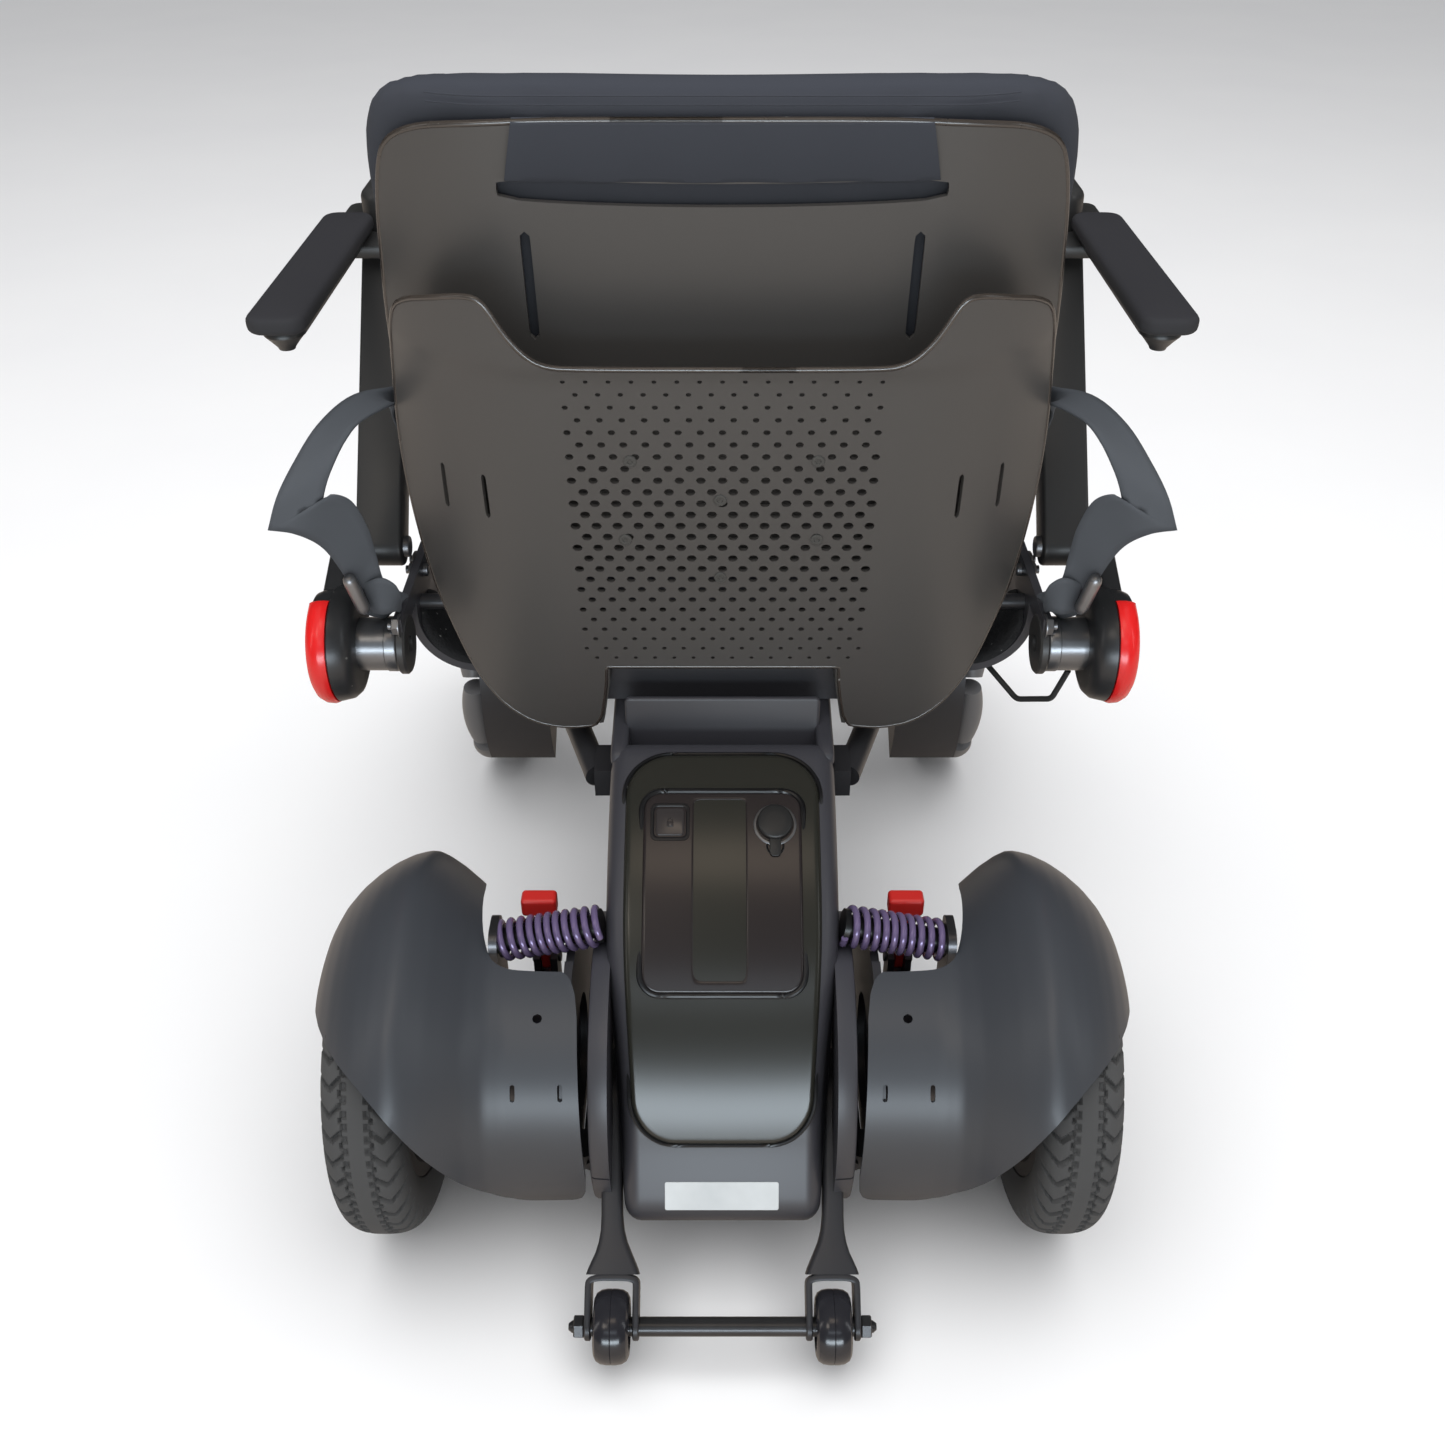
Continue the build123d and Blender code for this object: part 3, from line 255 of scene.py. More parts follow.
def rounded_box_outline(half_u, half_v, corner, per=6):
    """A rectangle with quarter-circle corners, counter-clockwise."""
    a = np.linspace(0, np.pi / 2, per)
    corner = min(corner, half_u, half_v)
    out = []
    for q, (su, sv) in enumerate(((1, 1), (-1, 1), (-1, -1), (1, -1))):
        b = a + q * np.pi / 2
        out.append(
            np.stack(
                [su * (half_u - corner) + corner * np.cos(b), sv * (half_v - corner) + corner * np.sin(b)],
                1
            )
        )
    return np.concatenate(out)


def across_x(v):
    """Local (u, v, depth) as (Y, Z, X)."""
    return v[:, [2, 0, 1]]


def turned(profile, y, z, count=64, closed=True):
    """A closed profile of (x, radius) turned about the line through (y, z) along X."""
    profile = np.asarray(profile, float)
    a = np.linspace(0, 2 * np.pi, count, endpoint=False)
    x = np.broadcast_to(profile[None, :, 0], (count, len(profile)))
    r = profile[None, :, 1]
    v = np.stack([x, y + r * np.sin(a)[:, None], z + r * np.cos(a)[:, None]], -1)
    return v.reshape(-1, 3), grid_faces(count, len(profile), True, closed).tolist()


def rim_bead(name, outline, place, radius, finish, body):
    """A fine rounded edge along a closed outline."""
    run = resample(np.concatenate([outline, outline[:2]]), 420)
    v, f = tube(place(run), radius, 8, up=(0.01, 1, 0.02))
    return emit(name, v, f, finish, body, sharp=80)


def nearest_on(points, outline):
    """The nearest places on a closed polyline to some points."""
    a, b = outline, np.roll(outline, -1, 0)
    ab = b - a
    ap = points[:, None] - a[None]
    t = np.clip((ap * ab).sum(-1) / np.maximum((ab * ab).sum(-1), 1e-9), 0, 1)
    q = a[None] + t[..., None] * ab[None]
    k = ((q - points[:, None]) ** 2).sum(-1).argmin(1)
    return q[np.arange(len(points)), k]


def inside(points, outline):
    """Even-odd test of points against a closed outline."""
    x, y = points[:, 0:1], points[:, 1:2]
    a, b = outline, np.roll(outline, -1, 0)
    cross = (a[None, :, 1] > y) != (b[None, :, 1] > y)
    dy = np.where(np.abs(b[:, 1] - a[:, 1]) < 1e-9, 1e-9, b[:, 1] - a[:, 1])
    at = a[:, 0] + (y - a[None, :, 1]) * (b[:, 0] - a[:, 0]) / dy
    return (np.sum(cross & (x < at), 1) % 2) == 1


def panel(us, vs, outline, holes, place):
    """A grid cut to an outline, with round or long holes.

    Cells whose middle lies inside the outline stay, and the rim's points move to the nearest
    place on the outline. A hole (i0, i1, j0, j1, half_u, half_v, power) clears a block of cells
    and joins the block's rim to a superellipse, |u/a|^p + |v/b|^p = 1, at the same angles.
    """
    nu, nv = len(us), len(vs)
    grid = np.stack(np.meshgrid(us, vs, indexing="ij"), -1).reshape(-1, 2)
    quads = grid_faces(nu, nv)
    middle = grid[quads].mean(1)
    keep = inside(middle, outline)
    cell_i, cell_j = np.divmod(np.arange(len(quads)), nv - 1)
    extra, ring_quads, count = [], [], len(grid)
    for i0, i1, j0, j1, half_u, half_v, power in holes:
        block = (cell_i >= i0) & (cell_i < i1) & (cell_j >= j0) & (cell_j < j1)
        if not keep[block].all():
            continue
        keep &= ~block
        rim = [(i, j0) for i in range(i0, i1)] + [(i1, j) for j in range(j0, j1)]
        rim += [(i, j1) for i in range(i1, i0, -1)] + [(i0, j) for j in range(j1, j0, -1)]
        ids = np.array([i * nv + j for i, j in rim])
        centre = (grid[i0 * nv + j0] + grid[i1 * nv + j1]) / 2
        d = (grid[ids] - centre) / (grid[i1 * nv + j1] - centre)
        size = (np.abs(d) ** power).sum(1) ** (1 / power)
        extra.append(centre + d / size[:, None] * [half_u, half_v])
        new = np.arange(len(ids)) + count
        count += len(ids)
        ring_quads.append(np.stack([ids, np.roll(ids, -1), np.roll(new, -1), new], 1))
    kept = quads[keep]
    edges = np.sort(np.stack([kept, np.roll(kept, -1, 1)], -1).reshape(-1, 2), 1)
    hole_edges = [np.sort(np.stack([q[:, 0], q[:, 1]], -1), 1) for q in ring_quads]
    every = np.concatenate([edges] + hole_edges) if hole_edges else edges
    pairs, times = np.unique(every, axis=0, return_counts=True)
    rim_ids = np.unique(pairs[times == 1])
    grid[rim_ids] = nearest_on(grid[rim_ids], outline)
    points = np.concatenate([grid] + extra) if extra else grid
    faces = np.concatenate([kept] + ring_quads) if ring_quads else kept
    used, flat = np.unique(faces, return_inverse=True)
    return place(points[used]), flat.reshape(faces.shape).tolist()


# ---- Frames of the chair -----------------------------------------------------------------
def back_place(x, n, s):
    """From the back's own frame (across, backwards, up along the back) to the chair."""
    c, k = np.cos(BACK_LEAN), np.sin(BACK_LEAN)
    y = BACK_ORIGIN[0] + n * c + s * k
    z = BACK_ORIGIN[1] - n * k + s * c
    return np.stack(np.broadcast_arrays(x, y, z), -1)


def wrapped(a, flat, radius, n0):
    """A sheet that is flat across the middle and bends forwards along arcs: arc length a."""
    over = np.maximum(np.abs(a) - flat, 0)
    t = over / radius
    x = np.sign(a) * (np.minimum(np.abs(a), flat) + radius * np.sin(t))
    return x, n0 - radius * (1 - np.cos(t))


def circle_through(a, b, c):
    """Centre and radius of the circle through three points."""
    m = 2 * np.array([[b[0] - a[0], b[1] - a[1]], [c[0] - a[0], c[1] - a[1]]])
    k = np.array(
        [b[0] ** 2 + b[1] ** 2 - a[0] ** 2 - a[1] ** 2, c[0] ** 2 + c[1] ** 2 - a[0] ** 2 - a[1] ** 2]
    )
    centre = np.linalg.solve(m, k)
    return centre, float(np.hypot(*(centre - np.array(a))))


COVER_CENTRE, COVER_R = circle_through(COVER_TOP, COVER_MIDDLE, COVER_BOTTOM)
COVER_START = np.arctan2(COVER_TOP[1] - COVER_CENTRE[1], COVER_TOP[0] - COVER_CENTRE[0])
COVER_LENGTH = COVER_R * (
    COVER_START - np.arctan2(COVER_BOTTOM[1] - COVER_CENTRE[1], COVER_BOTTOM[0] - COVER_CENTRE[0])
)


def on_cover(x, run, lift):
    """A point over the housing's arc: across, along the arc from its upper end, and above it."""
    a = COVER_START - np.asarray(run, float) / COVER_R
    r = COVER_R + lift
    return np.stack(
        np.broadcast_arrays(x, COVER_CENTRE[0] + r * np.cos(a), COVER_CENTRE[1] + r * np.sin(a)), -1
    )


# ---- Materials ---------------------------------------------------------------------------
def new_group(name, inputs, outputs):
    """An empty shader node group with named value or vector sockets."""
    group = bpy.data.node_groups.new(name, "ShaderNodeTree")
    for label, kind, value in inputs:
        s = group.interface.new_socket(label, in_out="INPUT", socket_type=kind)
        if value is not None:
            s.default_value = value
    for label, kind in outputs:
        group.interface.new_socket(label, in_out="OUTPUT", socket_type=kind)
    return group, group.nodes.new("NodeGroupInput"), group.nodes.new("NodeGroupOutput")


def add(tree, kind, links=(), **settings):
    """Adds a node, sets its plain sockets and properties, and links others into it."""
    n = tree.nodes.new(kind)
    for key, value in settings.items():
        if key.startswith("in_"):
            n.inputs[int(key[3:]) if key[3:].isdigit() else key[3:].replace("_", " ")].default_value = value
        else:
            setattr(n, key, value)
    for source, target in links:
        tree.links.new(source, n.inputs[target])
    return n


def mathn(tree, op, a, b=None, clamp=False):
    """A Math node on sockets or numbers."""
    n = tree.nodes.new("ShaderNodeMath")
    n.operation = op
    n.use_clamp = clamp
    for k, value in enumerate((a, b)):
        if value is None:
            continue
        if isinstance(value, (int, float)):
            n.inputs[k].default_value = value
        else:
            tree.links.new(value, n.inputs[k])
    return n.outputs[0]


def span(tree, value, low, high, to_low=0.0, to_high=1.0):
    """Maps a value's range to another range, clamped."""
    n = add(tree, "ShaderNodeMapRange", [(value, 0)], in_1=low, in_2=high, in_3=to_low, in_4=to_high)
    return n.outputs[0]


def group_grain():
    """Fine moulded grain: two noises, the finer one on top, as a height and a mottling mask."""
    g, i, o = new_group(
        "moulded grain",
        [("Vector", "NodeSocketVector", None), ("Scale", "NodeSocketFloat", 900.0)],
        [("Height", "NodeSocketFloat"), ("Mottle", "NodeSocketFloat")],
    )
    fine = add(
        g, "ShaderNodeTexNoise", [(i.outputs["Vector"], "Vector"), (i.outputs["Scale"], "Scale")],
        in_Detail=2.0
    )
    wide = add(g, "ShaderNodeTexNoise", [(i.outputs["Vector"], "Vector")], in_Scale=14.0, in_Detail=4.0)
    g.links.new(fine.outputs["Fac"], o.inputs["Height"])
    g.links.new(wide.outputs["Fac"], o.inputs["Mottle"])
    return g


def group_dust():
    """Dust: small pale specks from a cell pattern, thinned out by a wide noise."""
    g, i, o = new_group(
        "dust specks",
        [
            ("Vector", "NodeSocketVector", None), ("Scale", "NodeSocketFloat", 160.0),
            ("Amount", "NodeSocketFloat", 0.3)
        ],
        [("Mask", "NodeSocketFloat")],
    )
    cells = add(g, "ShaderNodeTexVoronoi", [(i.outputs["Vector"], "Vector"), (i.outputs["Scale"], "Scale")])
    pick = add(g, "ShaderNodeSeparateColor", [(cells.outputs["Color"], 0)])
    wide = add(g, "ShaderNodeTexNoise", [(i.outputs["Vector"], "Vector")], in_Scale=22.0, in_Detail=3.0)
    size = mathn(g, "MULTIPLY", pick.outputs[1], 0.16)
    dot = mathn(g, "LESS_THAN", cells.outputs["Distance"], size)
    some = mathn(g, "LESS_THAN", pick.outputs[0], i.outputs["Amount"])
    where = span(g, wide.outputs["Fac"], 0.42, 0.6)
    mask = mathn(g, "MULTIPLY", mathn(g, "MULTIPLY", dot, some), where)
    g.links.new(mask, o.inputs["Mask"])
    return g


def group_weave():
    """Plain weave: warp and weft as crossed waves, each on top in turn, with slubs and lint."""
    g, i, o = new_group(
        "woven cloth",
        [("Vector", "NodeSocketVector", None), ("Threads", "NodeSocketFloat", 900.0)],
        [("Height", "NodeSocketFloat"), ("Thread", "NodeSocketFloat"), ("Lint", "NodeSocketFloat")],
    )
    warp_noise = add(g, "ShaderNodeTexNoise", [(i.outputs["Vector"], "Vector")], in_Scale=60.0, in_Detail=2.0)
    push = add(g, "ShaderNodeVectorMath", [(warp_noise.outputs["Color"], 0)], operation="SCALE", in_3=0.0012)
    moved = add(g, "ShaderNodeVectorMath", [(i.outputs["Vector"], 0), (push.outputs[0], 1)], operation="ADD")
    xyz = add(g, "ShaderNodeSeparateXYZ", [(moved.outputs[0], 0)])
    u = mathn(g, "MULTIPLY", xyz.outputs[0], i.outputs["Threads"])
    rise = mathn(g, "ADD", xyz.outputs[2], xyz.outputs[1])
    v = mathn(g, "MULTIPLY", rise, i.outputs["Threads"])
    su, sv = mathn(g, "SINE", u), mathn(g, "SINE", v)
    over = mathn(g, "MULTIPLY", su, sv)
    height = span(g, over, -1.0, 1.0)
    slub = add(g, "ShaderNodeTexNoise", [(moved.outputs[0], "Vector")], in_Scale=420.0, in_Detail=3.0)
    lint = add(g, "ShaderNodeTexNoise", [(i.outputs["Vector"], "Vector")], in_Scale=700.0, in_Detail=5.0)
    patch = add(g, "ShaderNodeTexNoise", [(i.outputs["Vector"], "Vector")], in_Scale=25.0, in_Detail=3.0)
    dots = mathn(
        g, "MULTIPLY", span(g, lint.outputs["Fac"], 0.66, 0.74), span(g, patch.outputs["Fac"], 0.45, 0.65)
    )
    g.links.new(mathn(g, "ADD", height, mathn(g, "MULTIPLY", slub.outputs["Fac"], 0.8)), o.inputs["Height"])
    g.links.new(slub.outputs["Fac"], o.inputs["Thread"])
    g.links.new(dots, o.inputs["Lint"])
    return g


def group_scuffs():
    """Hairline scuffs: a noise stretched along one direction and kept where it peaks."""
    g, i, o = new_group(
        "scuffs",
        [("Vector", "NodeSocketVector", None), ("Scale", "NodeSocketFloat", 60.0)],
        [("Mask", "NodeSocketFloat")],
    )
    stretch = add(
        g, "ShaderNodeVectorMath", [(i.outputs["Vector"], 0)], operation="MULTIPLY", in_1=(1.0, 0.12, 0.3)
    )
    noise = add(
        g, "ShaderNodeTexNoise", [(stretch.outputs[0], "Vector"), (i.outputs["Scale"], "Scale")],
        in_Detail=6.0, in_Roughness=0.7
    )
    g.links.new(span(g, noise.outputs["Fac"], 0.62, 0.78), o.inputs["Mask"])
    return g


GROUPS = {}
SLOTS = {m["slot"] for m in frame["record"]["materials"]}


def start_material(name):
    """A material with a Principled shader, and Object coordinates to read."""
    mat = bpy.data.materials.new(name)
    mat.use_nodes = True
    t = mat.node_tree
    t.nodes.clear()
    out = t.nodes.new("ShaderNodeOutputMaterial")
    bsdf = t.nodes.new("ShaderNodeBsdfPrincipled")
    t.links.new(bsdf.outputs[0], out.inputs[0])
    at = t.nodes.new("ShaderNodeTexCoord").outputs["Object"]
    return mat, t, bsdf, at


def use_group(t, key, at, **values):
    """A shared effect placed in a material with its own values."""
    n = t.nodes.new("ShaderNodeGroup")
    n.node_tree = GROUPS[key]
    t.links.new(at, n.inputs["Vector"])
    for label, value in values.items():
        n.inputs[label].default_value = value
    return n


def mix_colour(t, fac, a, b):
    """One colour over another by a mask; a and b are colours or sockets."""
    n = t.nodes.new("ShaderNodeMix")
    n.data_type = "RGBA"
    t.links.new(fac, n.inputs[0])
    for k, value in ((6, a), (7, b)):
        if isinstance(value, tuple):
            n.inputs[k].default_value = (*value[:3], 1.0)
        else:
            t.links.new(value, n.inputs[k])
    return n.outputs[2]


def plastic(
    name, colour, rough=0.42, grain=900.0, depth=0.02, dust=0.25, coat=0.0, metallic=0.0, spec=0.5,
    dust_scale=160.0
):
    """Moulded or painted surface: grain, slow mottling of colour and gloss, and dust."""
    mat, t, bsdf, at = start_material(name)
    g = use_group(t, "grain", at, Scale=grain)
    d = use_group(t, "dust", at, Scale=dust_scale, Amount=dust)
    light = tuple(min(1.0, c * 1.25 + 0.002) for c in colour)
    dark = tuple(c * 0.82 for c in colour)
    body = mix_colour(t, span(t, g.outputs["Mottle"], 0.3, 0.7), dark, light)
    t.links.new(
        mix_colour(t, mathn(t, "MULTIPLY", d.outputs["Mask"], 0.55), body, (0.42, 0.42, 0.4)),
        bsdf.inputs["Base Color"]
    )
    r = span(t, g.outputs["Mottle"], 0.25, 0.75, max(rough - 0.05, 0.02), rough + 0.05)
    t.links.new(mathn(t, "ADD", r, mathn(t, "MULTIPLY", d.outputs["Mask"], 0.3)), bsdf.inputs["Roughness"])
    bump = add(
        t, "ShaderNodeBump", [(g.outputs["Height"], "Height")], in_Strength=0.5, in_Distance=depth * MM * 3
    )
    t.links.new(bump.outputs[0], bsdf.inputs["Normal"])
    bsdf.inputs["Metallic"].default_value = metallic
    bsdf.inputs["Specular IOR Level"].default_value = spec
    if coat:
        bsdf.inputs["Coat Weight"].default_value = coat
        bsdf.inputs["Coat Roughness"].default_value = 0.04
    return mat


def gloss(name, colour, rough=0.03):
    """Polished plastic: nearly a mirror, with faint smears, hairline scuffs and a few specks."""
    mat, t, bsdf, at = start_material(name)
    g = use_group(t, "grain", at, Scale=40.0)
    s = use_group(t, "scuffs", at, Scale=90.0)
    d = use_group(t, "dust", at, Scale=210.0, Amount=0.12)
    t.links.new(
        mix_colour(t, mathn(t, "MULTIPLY", d.outputs["Mask"], 0.6), colour, (0.35, 0.34, 0.32)),
        bsdf.inputs["Base Color"]
    )
    smear = span(t, g.outputs["Mottle"], 0.35, 0.75, rough, rough + 0.03)
    t.links.new(
        mathn(t, "ADD", smear, mathn(t, "MULTIPLY", s.outputs["Mask"], 0.05)), bsdf.inputs["Roughness"]
    )
    bsdf.inputs["Coat Weight"].default_value = 1.0
    bsdf.inputs["Coat Roughness"].default_value = 0.03
    return mat


def cloth(name, colour, threads=2600.0, sheen=0.05):
    """Coarse woven cloth: crossed threads in relief, darker where the weave is low as painted shade between
    the threads, slubs in two tones, and grey lint.
    """
    mat, t, bsdf, at = start_material(name)
    w = use_group(t, "weave", at, Threads=threads)
    # The colour runs from dark to light with the weave's height: painted shade in the low places between
    # threads, and real tone from the slubs.
    light = tuple(c * 2.3 + 0.004 for c in colour)
    dark = tuple(c * 0.55 for c in colour)
    body = mix_colour(t, span(t, w.outputs["Height"], 0.3, 1.4), dark, light)
    t.links.new(
        mix_colour(t, mathn(t, "MULTIPLY", w.outputs["Lint"], 0.35), body, (0.3, 0.3, 0.31)),
        bsdf.inputs["Base Color"]
    )
    bsdf.inputs["Roughness"].default_value = 0.92
    bsdf.inputs["Sheen Weight"].default_value = sheen
    bsdf.inputs["Sheen Roughness"].default_value = 0.5
    bsdf.inputs["Specular IOR Level"].default_value = 0.2
    bump = add(t, "ShaderNodeBump", [(w.outputs["Height"], "Height")], in_Strength=0.9, in_Distance=0.0006)
    t.links.new(bump.outputs[0], bsdf.inputs["Normal"])
    return mat


def webbing(name, colour):
    """Belt webbing: fine ribs across its length, from its own UV map."""
    mat, t, bsdf, at = start_material(name)
    uv = t.nodes.new("ShaderNodeUVMap")
    xyz = add(t, "ShaderNodeSeparateXYZ", [(uv.outputs[0], 0)])
    rib = span(t, mathn(t, "SINE", mathn(t, "MULTIPLY", xyz.outputs[0], 2.2)), -1.0, 1.0)
    fine = span(t, mathn(t, "SINE", mathn(t, "MULTIPLY", xyz.outputs[1], 5.5)), -1.0, 1.0)
    height = mathn(t, "ADD", rib, mathn(t, "MULTIPLY", fine, 0.4))
    noise = add(t, "ShaderNodeTexNoise", [(at, "Vector")], in_Scale=120.0, in_Detail=4.0)
    # The colour follows the ribs' height, dark in the grooves: painted shade between the ribs, with real tone
    # from the noise.
    tone = mathn(t, "ADD", mathn(t, "MULTIPLY", height, 0.6), mathn(t, "MULTIPLY", noise.outputs["Fac"], 0.3))
    light = tuple(c * 2.0 for c in colour)
    dark = tuple(c * 0.2 for c in colour)
    t.links.new(mix_colour(t, tone, dark, light), bsdf.inputs["Base Color"])
    bsdf.inputs["Roughness"].default_value = 0.75
    bsdf.inputs["Sheen Weight"].default_value = 0.05
    bsdf.inputs["Specular IOR Level"].default_value = 0.25
    bump = add(t, "ShaderNodeBump", [(height, "Height")], in_Strength=0.8, in_Distance=0.0007)
    t.links.new(bump.outputs[0], bsdf.inputs["Normal"])
    return mat


def lens(name, colour):
    """Reflector plastic: saturated, with small prisms in rows under a clear coat."""
    mat, t, bsdf, at = start_material(name)
    xyz = add(t, "ShaderNodeSeparateXYZ", [(at, 0)])
    rows = mathn(t, "SINE", mathn(t, "MULTIPLY", xyz.outputs[2], 1500.0))
    columns = mathn(t, "SINE", mathn(t, "MULTIPLY", xyz.outputs[0], 1500.0))
    cells = span(t, mathn(t, "MULTIPLY", rows, columns), -0.6, 0.6)
    t.links.new(mix_colour(t, cells, tuple(c * 0.8 for c in colour), colour), bsdf.inputs["Base Color"])
    bsdf.inputs["Roughness"].default_value = 0.2
    bsdf.inputs["Coat Weight"].default_value = 0.8
    # The lens glows a little in its own red: painted brightness, since a reflector is no lamp.
    bsdf.inputs["Emission Color"].default_value = (*colour[:3], 1.0)
    bsdf.inputs["Emission Strength"].default_value = 0.5
    bump = add(t, "ShaderNodeBump", [(cells, "Height")], in_Strength=0.15, in_Distance=0.0003)
    t.links.new(bump.outputs[0], bsdf.inputs["Normal"])
    return mat


def tyre_rubber(name, colour, dust_colour):
    """Tyre rubber: grey dust lies where the tread meets the ground, read from a mask on the mesh."""
    mat, t, bsdf, at = start_material(name)
    g = use_group(t, "grain", at, Scale=500.0)
    band = add(t, "ShaderNodeAttribute", attribute_name="dust")
    noise = add(t, "ShaderNodeTexNoise", [(at, "Vector")], in_Scale=90.0, in_Detail=5.0)
    mask = mathn(t, "MULTIPLY", band.outputs["Fac"], span(t, noise.outputs["Fac"], 0.3, 0.65, 0.45, 1.0))
    body = mix_colour(
        t, span(t, g.outputs["Mottle"], 0.3, 0.7), tuple(c * 0.7 for c in colour),
        tuple(c * 1.3 for c in colour)
    )
    t.links.new(mix_colour(t, mask, body, dust_colour), bsdf.inputs["Base Color"])
    t.links.new(span(t, mask, 0.0, 1.0, 0.62, 0.95), bsdf.inputs["Roughness"])
    bump = add(t, "ShaderNodeBump", [(g.outputs["Height"], "Height")], in_Strength=0.4, in_Distance=0.0003)
    t.links.new(bump.outputs[0], bsdf.inputs["Normal"])
    return mat


def pad_skin(name, colour):
    """Soft moulded skin of an arm pad: pebbled cells with a slow change of gloss."""
    mat, t, bsdf, at = start_material(name)
    cells = add(t, "ShaderNodeTexVoronoi", [(at, "Vector")], in_Scale=650.0)
    g = use_group(t, "grain", at, Scale=300.0)
    body = mix_colour(
        t, span(t, g.outputs["Mottle"], 0.3, 0.7), tuple(c * 0.8 for c in colour),
        tuple(c * 1.3 for c in colour)
    )
    t.links.new(body, bsdf.inputs["Base Color"])
    t.links.new(span(t, g.outputs["Mottle"], 0.3, 0.7, 0.5, 0.6), bsdf.inputs["Roughness"])
    bump = add(
        t, "ShaderNodeBump", [(cells.outputs["Distance"], "Height")], in_Strength=0.35, in_Distance=0.0004
    )
    t.links.new(bump.outputs[0], bsdf.inputs["Normal"])
    return mat


# ---- Settings ----------------------------------------------------------------------------
class ChairColours(bpy.types.PropertyGroup):
    """Colours that a user would change."""

    shell: bpy.props.FloatVectorProperty(
        name="Back shell", description="Moulded back shells", subtype="COLOR", size=3,
        default=(0.028, 0.0225, 0.0185)
    )
    housing: bpy.props.FloatVectorProperty(
        name="Housing", description="Drive housing and fenders", subtype="COLOR", size=3,
        default=(0.0042, 0.0048, 0.0068)
    )
    cover: bpy.props.FloatVectorProperty(
        name="Cover", description="Polished cover and battery", subtype="COLOR", size=3,
        default=(0.004, 0.003, 0.0026)
    )
    frame: bpy.props.FloatVectorProperty(
        name="Frame", description="Painted metal", subtype="COLOR", size=3, default=(0.011, 0.0115, 0.0135)
    )
    cloth: bpy.props.FloatVectorProperty(
        name="Cloth", description="Seat and back cloth", subtype="COLOR", size=3,
        default=(0.0155, 0.0153, 0.0172)
    )
    belt: bpy.props.FloatVectorProperty(
        name="Belt", description="Seat belt webbing", subtype="COLOR", size=3,
        default=(0.006, 0.0072, 0.009)
    )
    spring: bpy.props.FloatVectorProperty(
        name="Springs", description="Suspension springs", subtype="COLOR", size=3,
        default=(0.02, 0.014, 0.045)
    )
    reflector: bpy.props.FloatVectorProperty(
        name="Reflectors", description="Rear reflectors", subtype="COLOR", size=3, default=(0.9, 0.0, 0.0)
    )
    dust: bpy.props.FloatVectorProperty(
        name="Dust", description="Dust on the tyres", subtype="COLOR", size=3, default=(0.52, 0.51, 0.48)
    )


class ChairSizes(bpy.types.PropertyGroup):
    """Sizes that a user would change."""

    vent_small: bpy.props.FloatProperty(
        name="Smallest vent", description="Radius of the back shell's smallest holes", default=0.0016,
        unit="LENGTH"
    )
    vent_large: bpy.props.FloatProperty(
        name="Largest vent", description="Radius of the back shell's largest holes", default=0.0036,
        unit="LENGTH"
    )
    tread_depth: bpy.props.FloatProperty(
        name="Tread depth", description="Depth of the rear tyres' grooves", default=0.0032, unit="LENGTH"
    )
    spring_wire: bpy.props.FloatProperty(
        name="Spring wire", description="Radius of the spring wire", default=0.0025, unit="LENGTH"
    )
    threads: bpy.props.FloatProperty(
        name="Cloth threads", description="Radians of weave for each metre", default=2600.0
    )
    webbing_width: bpy.props.FloatProperty(
        name="Webbing width", description="Width of the seat belt", default=0.034, unit="LENGTH"
    )


def colours():
    """The scene's colours as plain tuples."""
    c = bpy.context.scene.chair_colours
    return {k: tuple(getattr(c, k)) for k in ChairColours.__annotations__}


def sizes():
    """The scene's sizes."""
    return bpy.context.scene.chair_sizes


